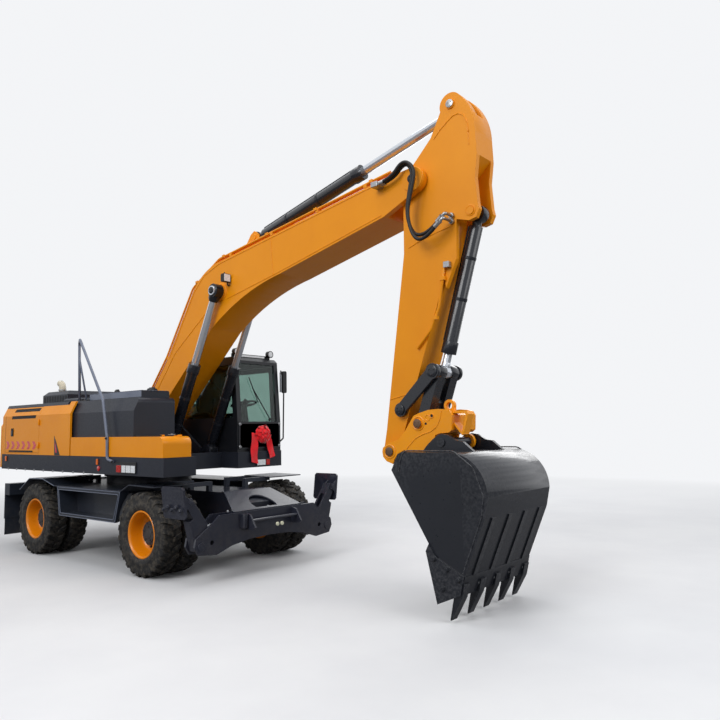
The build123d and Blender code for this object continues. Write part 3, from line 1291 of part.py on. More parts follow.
def boom():
    """The one-piece boom: a box beam bent upward over the cylinders, forked at its nose."""
    foot_x, foot_z = BOOM_FOOT
    nose_x, nose_z = BOOM_NOSE
    foot_r, nose_r = BOOM_FOOT_RADIUS, NOSE_RADIUS
    edges = [
        Line((foot_x - 115, foot_z + 95), (517, 2822)),
        Line((517, 2822), (1103, 3734)),
        ThreePointArc((1103, 3734), (1340, 3945), (1667, 4062)),
        Line((1667, 4062), (4408, 4494)),
        Line((4408, 4494), (nose_x - 20, nose_z + nose_r)),
        ThreePointArc(
            (nose_x - 20, nose_z + nose_r), (nose_x + nose_r, nose_z), (nose_x + 40, nose_z - nose_r + 5)
        ),
        Line((nose_x + 40, nose_z - nose_r + 5), (4512, 4083)),
        Line((4512, 4083), (2868, 3711)),
        ThreePointArc((2868, 3711), (2180, 3515), (1507, 3150)),
        Line((1507, 3150), (527, 2262)),
        Line((527, 2262), (foot_x + 60, foot_z - foot_r + 10)),
        ThreePointArc(
            (foot_x + 60, foot_z - foot_r + 10), (foot_x - 110, foot_z - 105), (foot_x - 115, foot_z + 95)
        ),
    ]
    beam = side_solid(make_face(Curve() + edges), -BOOM_HALF_WIDTH, BOOM_HALF_WIDTH)
    # The fork that straddles the arm's boss
    fork = [(FORK_BOTTOM_X, 3950), (FORK_BOTTOM_X + 85, 4700), (5200, 4700), (5200, 3950)]
    beam -= plate(fork, -ARM_GAP - 2, ARM_GAP + 2)
    # Nose cheeks and pin bosses
    cheek = BOOM_HALF_WIDTH
    beam += both_sides(cross_pin(BOOM_NOSE, cheek, cheek + 16, nose_r - 5))
    beam += both_sides(cross_pin(BOOM_CYLINDER_EYE, cheek, BOOM_CYLINDER_Y - EYE_WIDTH / 2 - SIDE_PLAY, 98))
    # Ears of the arm cylinder's foot
    ear = [
        (ARM_CYLINDER_FOOT[0] - 250, 4140),
        (ARM_CYLINDER_FOOT[0] - 70, ARM_CYLINDER_FOOT[1] + 50),
        (ARM_CYLINDER_FOOT[0], ARM_CYLINDER_FOOT[1] + 90),
        (ARM_CYLINDER_FOOT[0] + 75, ARM_CYLINDER_FOOT[1] + 35),
        (ARM_CYLINDER_FOOT[0] + 98, ARM_CYLINDER_FOOT[1] - 35),
        (ARM_CYLINDER_FOOT[0] + 330, 4170),
    ]
    half = EYE_WIDTH / 2 + 2
    beam += both_sides(plate(ear, half, half + 35))
    beam += cross_pin(ARM_CYLINDER_FOOT, -half - 50, half + 50, LINK_PIN_RADIUS)
    # Bores of the foot and of the nose pin
    beam -= cross_pin(BOOM_FOOT, -400, 400, MAIN_PIN_RADIUS + PIN_PLAY)
    beam += cross_pin(BOOM_NOSE, -cheek - 30, cheek + 30, MAIN_PIN_RADIUS)
    return beam


def boom_pipes():
    """Two hydraulic pipes with clamps along the boom's right top edge."""
    group = []
    for row, (y, lift) in enumerate(((-BOOM_HALF_WIDTH + 24, 26), (-BOOM_HALF_WIDTH + 62, 26))):
        radius = 14
        points = [(-40, 2230), (480, 2845), (1085, 3770), (1655, 4085), (4380, 4517), (4610, 4552)]
        normal = lift
        path = [(x - 0.7 * normal, y, z + 0.7 * normal) for x, z in points[:3]]
        path += [(x - 0.15 * normal, y, z + normal) for x, z in points[3:]]
        group.append(rail(path, radius, 180))
    y0 = -BOOM_HALF_WIDTH + 8
    for x, z in ((500, 2800), (1900, 4097), (2700, 4225), (3500, 4350), (4250, 4468)):
        place = Pos(x, y0 + 37, z + 34)
        group.append(place * Box(46, 74, 44))
    return group


def boom_pipe_set(beam):
    """The pipes and clamps as one group, cut to the boom's face."""
    parts = boom_pipes()
    shape = parts[0]
    for part in parts[1:]:
        shape += part
    return shape - beam


def barrel(start, end, y, length, radius, rod_radius):
    """A cylinder's barrel with its foot eye and gland, open for its rod."""
    wide = radius + BARREL_WALL
    foot = at_y(start, y)
    base = at_y(along(start, end, FOOT_NECK), y)
    mouth = at_y(along(start, end, length), y)
    gland = at_y(along(start, end, length - GLAND_LENGTH), y)
    inside = at_y(along(start, end, FOOT_NECK + 50), y)
    beyond = at_y(along(start, end, length + 30), y)
    body = bar(foot, base, EYE_WIDTH / 2 - 4) + bar(base, gland, radius) + bar(gland, mouth, wide)
    eye = cross_pin(start, y - EYE_WIDTH / 2, y + EYE_WIDTH / 2, EYE_RADIUS)
    return (body + eye) - bar(inside, beyond, rod_radius + PIN_PLAY)


def rod(start, end, y, length, radius, eye_radius, eye_width):
    """A cylinder's rod with the eye at its end."""
    tail = at_y(along(end, start, length), y)
    neck = at_y(along(end, start, eye_radius + 40), y)
    shape = bar(tail, at_y(end, y), radius) + bar(neck, at_y(end, y), eye_width / 2 - 1.5)
    return shape + cross_pin(end, y - eye_width / 2, y + eye_width / 2, eye_radius)


def boom_barrels():
    """Both boom cylinders' barrels."""
    shape = barrel(
        BOOM_CYLINDER_FOOT,
        BOOM_CYLINDER_EYE,
        BOOM_CYLINDER_Y,
        BOOM_BARREL_LENGTH,
        BARREL_RADIUS,
        BOOM_ROD_RADIUS,
    )
    shape -= cross_pin(BOOM_CYLINDER_FOOT, 0, 600, 38 + PIN_PLAY)
    return both_sides(shape)


def boom_rods():
    """Both boom cylinders' rods, with the capped ends of their pins."""
    shape = rod(
        BOOM_CYLINDER_FOOT,
        BOOM_CYLINDER_EYE,
        BOOM_CYLINDER_Y,
        BOOM_ROD_LENGTH,
        BOOM_ROD_RADIUS,
        EYE_RADIUS,
        EYE_WIDTH,
    )
    shape += cross_pin(BOOM_CYLINDER_EYE, BOOM_CYLINDER_Y, BOOM_CYLINDER_Y + EYE_WIDTH / 2 + 28, 62)
    return both_sides(shape)


def arm_barrel():
    """The arm cylinder's barrel with its eye on the boom's back."""
    shape = barrel(
        ARM_CYLINDER_FOOT, ARM_CYLINDER_EYE, 0, ARM_BARREL_LENGTH, ARM_BARREL_RADIUS, ARM_ROD_RADIUS
    )
    return shape - cross_pin(ARM_CYLINDER_FOOT, -100, 100, LINK_PIN_RADIUS + PIN_PLAY)


def arm_rod():
    """The arm cylinder's rod with its eye on the arm's head."""
    return rod(
        ARM_CYLINDER_FOOT, ARM_CYLINDER_EYE, 0, ARM_ROD_LENGTH, ARM_ROD_RADIUS, EYE_RADIUS, EYE_WIDTH
    )


def bucket_barrel():
    """The bucket cylinder's barrel with its eye on the arm's front."""
    shape = barrel(
        BUCKET_CYLINDER_FOOT, LINK_UPPER, 0, BUCKET_BARREL_LENGTH, BUCKET_BARREL_RADIUS, BUCKET_ROD_RADIUS
    )
    return shape - cross_pin(BUCKET_CYLINDER_FOOT, -100, 100, LINK_PIN_RADIUS + PIN_PLAY)


def bucket_rod():
    """The bucket cylinder's rod with its eye between the upper links."""
    return rod(
        BUCKET_CYLINDER_FOOT,
        LINK_UPPER,
        0,
        BUCKET_ROD_LENGTH,
        BUCKET_ROD_RADIUS,
        ROD_END_RADIUS,
        ROD_END_WIDTH,
    )


def arm():
    """The arm: a tapered box with a tall head, ears for the bucket cylinder and bosses for its pins."""
    nose_x, nose_z = BOOM_NOSE
    head_x, head_z = ARM_CYLINDER_EYE
    tip_x, tip_z = ARM_TIP
    boss = ARM_BOSS_RADIUS
    edges = [
        Line((tip_x - ARM_TIP_RADIUS, tip_z), (4436, 1760)),
        Line((4436, 1760), (4717, 3644)),
        Line((4717, 3644), (nose_x - boss, nose_z - 40)),
        ThreePointArc(
            (nose_x - boss, nose_z - 40), (nose_x - 165, nose_z + 110), (nose_x - 60, nose_z + 185)
        ),
        Line((nose_x - 60, nose_z + 185), (5102, 4838)),
        Line((5102, 4838), (head_x - 125, head_z - 50)),
        ThreePointArc((head_x - 125, head_z - 50), (head_x - 40, head_z + 118), (head_x + 90, head_z + 90)),
        ThreePointArc((head_x + 90, head_z + 90), (5590, 5010), (5640, 4760)),
        Line((5640, 4760), (5650, 4520)),
        Line((5650, 4520), (5480, 4350)),
        Line((5480, 4350), (5330, 3800)),
        Line((5330, 3800), (5260, 3420)),
        Line((5260, 3420), (4880, 2352)),
        Line((4880, 2352), (4672, 1740)),
        Line((4672, 1740), (tip_x + ARM_TIP_RADIUS, tip_z)),
        ThreePointArc(
            (tip_x + ARM_TIP_RADIUS, tip_z), (tip_x, tip_z - ARM_TIP_RADIUS), (tip_x - ARM_TIP_RADIUS, tip_z)
        ),
    ]
    body = side_solid(make_face(Curve() + edges), -ARM_HALF_WIDTH, ARM_HALF_WIDTH)
    # Ears that carry the bucket cylinder's foot
    foot_x, foot_z = BUCKET_CYLINDER_FOOT
    ear = [
        (5480, 4700),
        (5650, 4520),
        (5620, 4290),
        (5640, 4020),
        (foot_x + 100, foot_z),
        (foot_x + 60, foot_z - 80),
        (foot_x - 20, foot_z - 98),
        (5390, 3894),
        (5371, 3484),
        (5240, 3200),
        (5200, 3500),
    ]
    ear_y = (ARM_HALF_WIDTH - 60, ARM_HALF_WIDTH)
    body += both_sides(plate(ear, *ear_y))
    body -= plate([(5420, 4350), (5760, 4350), (5760, 3700), (5300, 3700)], -ear_y[0], ear_y[0])
    # The slot that the arm cylinder's rod swings in
    slot_half = EYE_WIDTH / 2 + SIDE_PLAY
    slot = [
        (head_x - 900, head_z - 420),
        (head_x - 70, head_z - 330),
        (head_x + 60, head_z - 240),
        (head_x + 330, head_z - 110),
        (head_x + 330, head_z + 300),
        (head_x - 900, head_z + 300),
    ]
    body -= plate(slot, -slot_half, slot_half)
    body -= cross_pin(BOOM_NOSE, -300, 300, MAIN_PIN_RADIUS + PIN_PLAY)
    # Pins that this arm carries
    ends = both_sides(cross_pin(ARM_CYLINDER_EYE, ARM_HALF_WIDTH, ARM_HALF_WIDTH + 16, 52))
    body += ends
    body += cross_pin(BUCKET_CYLINDER_FOOT, -ARM_HALF_WIDTH - 12, ARM_HALF_WIDTH + 12, LINK_PIN_RADIUS)
    link_end = LINK_Y + LINK_THICKNESS
    body += cross_pin(IDLER_PIVOT, -link_end - 8, link_end + 8, LINK_PIN_RADIUS)
    body += cross_pin(ARM_TIP, -link_end - 8, link_end + 8, LINK_PIN_RADIUS)
    return body


def arm_pipes():
    """The hydraulic pipes down the arm's right side to the coupler, with clamps."""
    y = -ARM_HALF_WIDTH - 22
    pipe = rail([(5240, y, 3420), (5160, y, 3000), (5050, y, 2780), (4880, y, 2600)], 13, 60)
    for x, z in ((5215, 3300), (5110, 2900)):
        pipe += block((x - 30, x + 30), (y - 18, -ARM_HALF_WIDTH + 5), (z - 20, z + 20))
    return pipe


# Linkage, coupler and bucket

def link_bar(start, end, y, thickness, radius_start, radius_end):
    """A flat bar with round ends between two (x, z) places, thick across the machine from y outward."""
    length = math.dist(start, end)
    angle = math.degrees(math.atan2(end[1] - start[1], end[0] - start[0]))
    taper = Polygon(
        (0, -radius_start * 0.82), (length, -radius_end * 0.82), (length, radius_end * 0.82),
        (0, radius_start * 0.82), align=None
    )
    flat = Circle(radius_start) + taper + Pos(length, 0) * Circle(radius_end)
    outline = Pos(*start) * Rot(0, 0, angle) * flat
    return side_solid(outline, y, y + thickness)


def idler_links():
    """The pair of idler links, one each side of the arm, joined by the upper pin's ends."""
    shape = link_bar(IDLER_PIVOT, LINK_UPPER, LINK_Y, LINK_THICKNESS, 74, 82)
    shape -= cross_pin(IDLER_PIVOT, 0, 400, LINK_PIN_RADIUS + PIN_PLAY)
    stub = cross_pin(
        LINK_UPPER, ROD_END_WIDTH / 2 + SIDE_PLAY, LINK_Y + LINK_THICKNESS + 12, LINK_PIN_RADIUS
    )
    return both_sides(shape + stub)


def h_link():
    """The forked link from the upper pin to the coupler."""
    inner = ROD_END_WIDTH / 2 + SIDE_PLAY
    leg = link_bar(LINK_UPPER, COUPLER_PIN, inner, LINK_Y - SIDE_PLAY - inner, 76, 72)
    leg -= cross_pin(LINK_UPPER, 0, 400, LINK_PIN_RADIUS + PIN_PLAY)
    web_start = along(LINK_UPPER, COUPLER_PIN, 330)
    web = link_bar(web_start, COUPLER_PIN, -inner - 1, 2 * inner + 2, 40, 66)
    return both_sides(leg) + web


def coupler():
    """The coupler between the arm and the bucket: curved side plates, pins, a box end and a lifting hook."""
    y = (LINK_Y, LINK_Y + COUPLER_PLATE)
    side = [
        (4412, 1524),
        (4420, 1562),
        (4486, 1612),
        (4558, 1629),
        (4630, 1652),
        (4714, 1732),
        (4798, 1852),
        (4834, 1897),
        (4903, 1923),
        (5015, 1952),
        (5136, 1958),
        (5221, 1951),
        (5274, 1936),
        (5300, 1895),
        (5292, 1744),
        (5257, 1719),
        (5145, 1711),
        (5096, 1693),
        (5061, BUCKET_TOP_Z + SEAT_GAP),
        (4700, BUCKET_TOP_Z + SEAT_GAP),
        (4614, 1498),
        (4571, 1441),
        (4552, 1393),
        (4469, 1420),
        (4422, 1467),
    ]
    # The rear of each plate hooks round the bucket's pin
    shape = both_sides(plate(side, *y) + cross_pin(EAR_PIN, *y, EAR_HOOK_RADIUS))
    shape -= cross_pin(EAR_PIN, -400, 400, EAR_PIN_RADIUS + PIN_PLAY)
    shape -= cross_pin(ARM_TIP, -400, 400, LINK_PIN_RADIUS + PIN_PLAY)
    shape += both_sides(cross_pin(COUPLER_PIN, y[0], y[1] + 22, LINK_PIN_RADIUS + 4))
    floor = [
        (4760, BUCKET_TOP_Z + SEAT_GAP),
        (4880, BUCKET_TOP_Z + SEAT_GAP),
        (4961, 1603),
        (5096, 1693),
        (5145, 1711),
        (5257, 1719),
        (5292, 1744),
        (5300, 1895),
        (5240, 1930),
        (5190, 1900),
        (5150, 1790),
        (5040, 1710),
        (4920, 1650),
        (4800, 1580),
    ]
    shape += plate(floor, -y[0] - 1, y[0] + 1)
    # The box end and the lifting hook on it
    box_top = [
        (5235, 1936),
        (5440, 1932),
        (5462, 1900),
        (5400, 1700),
        (5376, 1705),
        (5432, 1890),
        (5425, 1908),
        (5235, 1912),
    ]
    shape += plate(box_top, *BOX_END_Y)
    shape += plate([(5290, 1800), (5300, 1820), (5405, 1702), (5385, 1690)], *BOX_END_Y)
    hook_place = (HOOK_X, HOOK_Z)
    hook = cross_pin(hook_place, HOOK_Y - HOOK_WIDTH / 2, HOOK_Y + HOOK_WIDTH / 2, 62)
    foot = [(HOOK_X - 55, 1920), (HOOK_X + 65, 1920), (HOOK_X + 55, HOOK_Z), (HOOK_X - 35, HOOK_Z)]
    hook += plate(foot, HOOK_Y - HOOK_WIDTH / 2, HOOK_Y + HOOK_WIDTH / 2)
    return shape + (hook - cross_pin(hook_place, HOOK_Y - 30, HOOK_Y + 30, HOOK_EYE_RADIUS))


def bucket():
    """The bucket: a curved shell with side plates, ears, teeth, side cutters and wear strips."""
    half = BUCKET_HALF_WIDTH
    shell = BUCKET_SHELL
    top = BUCKET_TOP_Z
    outside = [
        Line((4837, 1360), (4918, top - 22)),
        Line((4918, top - 22), (4975, top)),
        Line((4975, top), (5575, top - 6)),
        ThreePointArc((5575, top - 6), (5805, 1404), (5903, 1145)),
        Line((5903, 1145), (5864, 956)),
        Line((5864, 956), (5640, 420)),
        Line((5640, 420), (5340, 560)),
        Line((5340, 560), (4837, 1360)),
    ]
    inside = [
        Line((4740, 1350), (4985, top - shell)),
        Line((4985, top - shell), (5570, top - shell - 6)),
        ThreePointArc((5570, top - shell - 6), (5785, 1390), (5878, 1145)),
        Line((5878, 1145), (5841, 962)),
        Line((5841, 962), (5600, 380)),
        Line((5600, 380), (5300, 380)),
        Line((5300, 380), (4740, 1350)),
    ]
    body = side_solid(make_face(Curve() + outside), -half, half)
    body -= side_solid(make_face(Curve() + inside), BUCKET_SIDE - half, half - BUCKET_SIDE)
    # Cutting lip
    lip = [(5646, 425), (5620, 428), (5548, 255), (5582, 245)]
    body += plate(lip, -half, half)
    # Teeth
    pitch = (2 * half - TOOTH_WIDTH) / (TEETH - 1)
    tip_x, tip_z = TOOTH_TIP
    tooth = [
        (5608, 360), (5640, 360), (5608, 235), (tip_x + 8, tip_z), (tip_x - 4, tip_z), (5522, 240), (5560, 330)
    ]
    for i in range(TEETH):
        y = -half + TOOTH_WIDTH / 2 + i * pitch
        body += plate(tooth, y - TOOTH_WIDTH / 2, y + TOOTH_WIDTH / 2)
    # Side cutters
    cutter = [(5270, 690), (5350, 570), (5640, 430), (5600, 260), (5350, 150), (5235, 620)]
    body += both_sides(plate(cutter, half - 4, half + 18))
    # Ears on top of the shell
    ear = [
        (4990, top - 5),
        (5053, 1604),
        (5119, 1658),
        (5174, 1693),
        (5227, 1706),
        (5290, 1697),
        (5341, 1666),
        (5391, 1640),
        (5460, 1631),
        (5600, top - 20),
    ]
    body += both_sides(plate(ear, BUCKET_EAR_Y, BUCKET_EAR_Y + BUCKET_EAR_THICKNESS))
    ear_outside = BUCKET_EAR_Y + BUCKET_EAR_THICKNESS
    body += cross_pin(EAR_PIN, -ear_outside - 14, ear_outside + 14, EAR_PIN_RADIUS)
    # Wear strips down the back
    for share in WEAR_STRIPS:
        y = share * half
        wrap = [(5860, 958), (5640, 430), (5655, 424), (5877, 953)]
        body += plate(wrap, y - 35, y + 35)
    return body


def arm_hoses():
    """The hoses that loop from the boom's nose to the arm's side."""
    block_x = (HOSE_BLOCK_X - 45, HOSE_BLOCK_X + 45)
    block_y = (-BOOM_HALF_WIDTH - 125, -BOOM_HALF_WIDTH - SEAT_GAP)
    runs = [block(block_x, block_y, (HOSE_BLOCK_Z - 30, HOSE_BLOCK_Z + 30))]
    for y, sag in ((-316, 0), (-357, 60)):
        runs.append(
            rail(
                [
                    (HOSE_BLOCK_X + 20, y, HOSE_BLOCK_Z),
                    (HOSE_BLOCK_X + 210, y, HOSE_BLOCK_Z + 10),
                    (4860, y, 4600 + sag / 3),
                    (4960 + sag, y, 4480),
                    (4900 + sag, y, 4250),
                    (4860 + sag / 2, y, 4000),
                    (4960 + sag / 2, y, 3760 - sag),
                    (5160, y, 3780 - sag),
                    (5290, y, 3900 - sag),
                ],
                19,
                75,
            )
        )
    whole = runs[0]
    for run in runs[1:]:
        whole += run
    return whole


def all_pieces():
    """Every piece by its name."""
    pieces = {
        "chassis_frame": chassis_frame(),
        "front_axle": front_axle(),
        "rear_axle": rear_axle(),
        "drive_line": drive_line(),
        "fenders_steps": fender_steps(),
        "support_frame": support_frame(),
        "steering_rod": steering_rod(),
    }
    tyre_shape, rims = tyre(), wheel_rims()
    twin = as_one(Pos(0, OUTER_TYRE_Y, 0) * tyre_shape, Pos(0, INNER_TYRE_Y, 0) * Rot(0, 5, 0) * tyre_shape)
    for end, x in (("front", AXLE_X), ("rear", -AXLE_X)):
        for name, side in (("left", 1), ("right", -1)):
            pieces[f"tyres_{end}_{name}"] = put_wheel(twin, x, side)
            pieces[f"rims_{end}_{name}"] = put_wheel(Rot(0, 7, 0) * rims, x, side)
    for name, side in (("left", 1), ("right", -1)):
        pieces[f"knuckle_{name}"] = knuckle(side)
        pieces[f"support_leg_{name}"] = support_leg(side)
        pieces[f"support_pad_{name}"] = support_pad(side)
        pieces[f"support_barrel_{name}"] = support_barrel(side)
        pieces[f"support_rod_{name}"] = support_rod(side)
        pieces[f"side_door_{name}"] = side_door(side)
    beam = boom()
    pieces.update(
        {
            "upper_frame": upper_frame(),
            "counterweight": counterweight(),
            "engine_house": engine_house(),
            "engine_hood": engine_hood(),
            "engine_block": engine_block(),
            "tank_cover": tank_cover(),
            "low_boxes": low_boxes(),
            "toolbox_lid": toolbox_lid(),
            "handrails": handrails(),
            "exhaust_stack": exhaust_stack(),
            "lamps": lamps(),
            "cab_shell": cab_shell() + cab_guard(),
            "cab_windows": cab_windows(),
            "cab_door": cab_door(),
            "cab_door_window": cab_door_window(),
            "driver_seat": driver_seat(),
            "cab_controls": cab_controls(),
            "cab_mirror": cab_mirror(),
            "rosette": rosette(),
            "boom": beam,
            "boom_pipes": boom_pipe_set(beam),
            "boom_barrels": boom_barrels(),
            "boom_rods": boom_rods(),
            "arm_barrel": arm_barrel(),
            "arm_rod": arm_rod(),
            "arm": arm() + arm_pipes(),
            "bucket_barrel": bucket_barrel(),
            "bucket_rod": bucket_rod(),
            "idler_links": idler_links(),
            "h_link": h_link(),
            "coupler": coupler(),
            "bucket": bucket(),
            "arm_hoses": arm_hoses(),
        }
    )
    return pieces


os.makedirs("parts", exist_ok=True)
for node_name, node_shape in all_pieces().items():
    export_step(Pos(SET_DOWN_X, 0, 0) * node_shape, f"parts/{node_name}.step")
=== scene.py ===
import math
import random

import bmesh
import bpy
from mathutils import Matrix, Vector


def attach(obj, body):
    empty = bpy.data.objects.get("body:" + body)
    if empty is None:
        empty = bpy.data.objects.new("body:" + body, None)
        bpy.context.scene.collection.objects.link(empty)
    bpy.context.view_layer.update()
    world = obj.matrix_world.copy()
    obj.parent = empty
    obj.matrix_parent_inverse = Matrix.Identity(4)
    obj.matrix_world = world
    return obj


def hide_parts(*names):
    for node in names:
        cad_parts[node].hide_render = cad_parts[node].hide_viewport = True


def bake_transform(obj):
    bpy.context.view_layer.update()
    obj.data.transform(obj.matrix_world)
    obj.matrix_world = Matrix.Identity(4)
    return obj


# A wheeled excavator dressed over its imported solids.
# Places are in millimetres from the middle of the wheelbase: X forward, Y left, Z up.
# put() sets them down in metres on the machine's own middle.
MM = 0.001
SET_DOWN = Vector((-1475, 0, 0))
SIDES = ((-1, "right"), (1, "left"))
UP = (0, 0, 1)
FULL_TURN = 2 * math.pi

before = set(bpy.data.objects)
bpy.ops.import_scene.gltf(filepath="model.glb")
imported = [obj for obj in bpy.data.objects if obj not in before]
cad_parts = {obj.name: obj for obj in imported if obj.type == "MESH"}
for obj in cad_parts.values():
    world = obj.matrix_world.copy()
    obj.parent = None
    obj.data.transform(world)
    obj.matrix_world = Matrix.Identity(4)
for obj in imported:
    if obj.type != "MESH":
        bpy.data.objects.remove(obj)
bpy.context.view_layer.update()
random.seed(7)


# Shapes

def add_object(name, data):
    """An object that carries the data, in the scene."""
    made = bpy.data.objects.new(name, data)
    bpy.context.scene.collection.objects.link(made)
    return made


def flat(point, y=0):
    """An (x, z) point of a side view as a place in space."""
    return Vector((point[0], y, point[1]))


class Shape:
    """Mesh gathered in millimetres and then set down as one piece."""

    def __init__(self, bm=None):
        self.bm = bmesh.new() if bm is None else bm

    def sheet(self, rows, closed=False):
        """Faces between rows of as many points each, closed round if they are loops."""
        rows = [[self.bm.verts.new(p) for p in row] for row in rows]
        count = len(rows[0])
        for a, b in zip(rows, rows[1:]):
            for i in range(count if closed else count - 1):
                j = (i + 1) % count
                self.bm.faces.new((a[i], a[j], b[j], b[i]))
        return rows

    def skin(self, loops):
        """A closed skin over loops of as many points each, capped at both ends."""
        rings = self.sheet(loops, closed=True)
        self.bm.faces.new(rings[0][::-1])
        self.bm.faces.new(rings[-1])
        return self

    def box(self, x, y, z):
        corners = [(y[0], z[0]), (y[1], z[0]), (y[1], z[1]), (y[0], z[1])]
        return self.skin([[(place, *corner) for corner in corners] for place in x])

    def slab(self, outline, low, high):
        """An (x, z) outline drawn out across the machine."""
        return self.skin([[flat(point, y) for point in outline] for y in (low, high)])

    def lathe(self, profile, centre, axis, sides=32):
        """A profile of (distance along, radius) turned round an axis through the centre."""
        along = Vector(axis).normalized()
        side = along.orthogonal().normalized()
        up = along.cross(side)
        rings = []
        for distance, radius in profile:
            middle = Vector(centre) + along * distance
            ring = [middle]
            if radius > 0:
                angles = [FULL_TURN * i / sides for i in range(sides)]
                ring = [middle + (side * math.cos(a) + up * math.sin(a)) * radius for a in angles]
            rings.append([self.bm.verts.new(place) for place in ring])
        for a, b in zip(rings, rings[1:]):
            for i in range(sides):
                j = i + 1
                corners = (a[i % len(a)], a[j % len(a)], b[j % len(b)], b[i % len(b)])
                corners = list(dict.fromkeys(corners))
                if len(corners) > 2:
                    self.bm.faces.new(corners)
        return self

    def bar(self, start, end, radius, radius_end=None, sides=20):
        """A round bar between two points, tapered if the end has its own radius."""
        length = (Vector(end) - Vector(start)).length
        last = radius if radius_end is None else radius_end
        profile = [(0, 0), (0, radius), (length, last), (length, 0)]
        return self.lathe(profile, start, Vector(end) - Vector(start), sides)

    def tube(self, points, radius, sides=12):
        """A round tube that follows close points, its radius a number or a function of how far along."""
        path = [Vector(p) for p in points]
        loops = []
        side = None
        for i, point in enumerate(path):
            ahead = path[min(i + 1, len(path) - 1)] - path[max(i - 1, 0)]
            ahead.normalize()
            side = ahead.orthogonal() if side is None else side - ahead * side.dot(ahead)
            side.normalize()
            up = ahead.cross(side)
            size = radius(i / (len(path) - 1)) if callable(radius) else radius
            angles = [FULL_TURN * k / sides for k in range(sides)]
            loops.append([point + (side * math.cos(a) + up * math.sin(a)) * size for a in angles])
        return self.skin(loops)

    def pipe(self, corners, radius, bend=60, sides=12):
        """A rigid bent pipe through corners, each rounded to a bend radius."""
        return self.tube(rounded(corners, bend), radius, sides)

    def bolt(self, place, axis, size=24, height=None, washer=True):
        """A hexagon bolt head on its washer, standing along the axis."""
        tall = height or size * 0.6
        base = 0
        if washer:
            base = size * 0.16
            ring = [(-1, 0), (-1, size * 0.88), (base * 0.8, size * 0.88), (base, size * 0.8), (base, 0)]
            self.lathe(ring, place, axis, 16)
        top = base + tall
        head = [(base - 1, size * 0.58), (base + tall * 0.8, size * 0.58), (top, size * 0.5), (top, 0)]
        return self.lathe(head, place, axis, 6)

    def weld(self, run, y, radius=7, step=14, bend=0):
        """A rippled weld bead along an (x, z) run on a side, its corners rounded to a bend radius."""
        corners = [flat(point, y) for point in run]
        if bend:
            corners = rounded(corners, bend, 4)
        path = []
        for a, b in zip(corners, corners[1:]):
            count = max(2, int((b - a).length / step))
            path += [a.lerp(b, i / count) for i in range(count)]
        path.append(corners[-1])
        ripples = len(path) - 1
        return self.tube(path, lambda t: radius * (1 + 0.14 * math.cos(math.pi * t * ripples)), 6)

    def flip_y(self):
        """Turns the mesh over to the other side."""
        for v in self.bm.verts:
            v.co.y = -v.co.y
        return self

    def moved(self, x):
        bmesh.ops.translate(self.bm, vec=(x, 0, 0), verts=self.bm.verts[:])
        return self

    def put(self, name, body, finish, slot, bevel=0, angle=38):
        """Sets the mesh down as a piece that rides on a body, or on none."""
        bmesh.ops.remove_doubles(self.bm, verts=self.bm.verts[:], dist=0.02)
        bmesh.ops.recalc_face_normals(self.bm, faces=self.bm.faces[:])
        mesh = bpy.data.meshes.new(name)
        self.bm.transform(Matrix.Translation(SET_DOWN))
        self.bm.transform(Matrix.Scale(MM, 4))
        self.bm.to_mesh(mesh)
        self.bm.free()
        piece = add_object(name, mesh)
        mesh.materials.append(finish)
        mesh.shade_smooth()
        mesh.set_sharp_from_angle(angle=math.radians(angle))
        if bevel:
            soften(piece, bevel)
        if body:
            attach(piece, body)
        return piece


def shapes(count):
    return [Shape() for _ in range(count)]


def soften(piece, width):
    """Rounds the sharp edges of a piece by a width in millimetres."""
    edge = piece.modifiers.new("edges", "BEVEL")
    edge.width = width * MM
    edge.segments = 2
    edge.limit_method = "ANGLE"
    edge.angle_limit = math.radians(32)
    edge.harden_normals = True
    edge.miter_outer = "MITER_ARC"


def rounded(corners, bend, steps=7):
    """Points along straight runs whose corners are arcs of a bend radius."""
    corners = [Vector(c) for c in corners]
    path = [corners[0]]
    for before, here, after in zip(corners, corners[1:], corners[2:]):
        a, b = (before - here), (after - here)
        half = a.angle(b) / 2
        if math.pi / 2 - half < 0.02:
            path.append(here)
            continue
        cut = min(bend / math.tan(half), a.length * 0.48, b.length * 0.48)
        radius = cut * math.tan(half)
        middle = here + (a.normalized() + b.normalized()).normalized() * (radius / math.sin(half))
        u = here + a.normalized() * cut - middle
        v = here + b.normalized() * cut - middle
        sweep = u.angle(v)
        for i in range(steps + 1):
            t = i / steps
            path.append(middle + (u * math.sin((1 - t) * sweep) + v * math.sin(t * sweep)) / math.sin(sweep))
    path.append(corners[-1])
    return path


# Finishes

def shade(red, green, blue):
    """A colour from its 0 to 255 values as seen, in the renderer's linear scale."""
    parts = []
    for value in (red, green, blue):
        v = value / 255
        parts.append(v / 12.92 if v <= 0.04045 else ((v + 0.055) / 1.055) ** 2.4)
    return (*parts, 1)


def scaled(colour, share):
    """The same colour with its parts times a share."""
    return (*(part * share for part in colour[:3]), 1)


class Graph:
    """A node graph, built up step by step."""

    def __init__(self, tree):
        self.tree = tree

    def node(self, kind, inputs=None, **settings):
        """A new node with its settings and the values of its inputs."""
        made = self.tree.nodes.new(kind)
        for key, value in settings.items():
            setattr(made, key, value)
        for key, value in (inputs or {}).items():
            self.feed(made.inputs[key], value)
        return made

    def feed(self, socket, value):
        """Gives a socket a plain value, or joins another node's output to it."""
        if isinstance(value, (int, float, tuple)):
            socket.default_value = value
        else:
            self.tree.links.new(value, socket)

    def blend(self, share, under, over):
        """One shader laid over another by a share."""
        made = self.node("ShaderNodeMixShader", dict(enumerate((share, under, over))))
        return made.outputs[0]


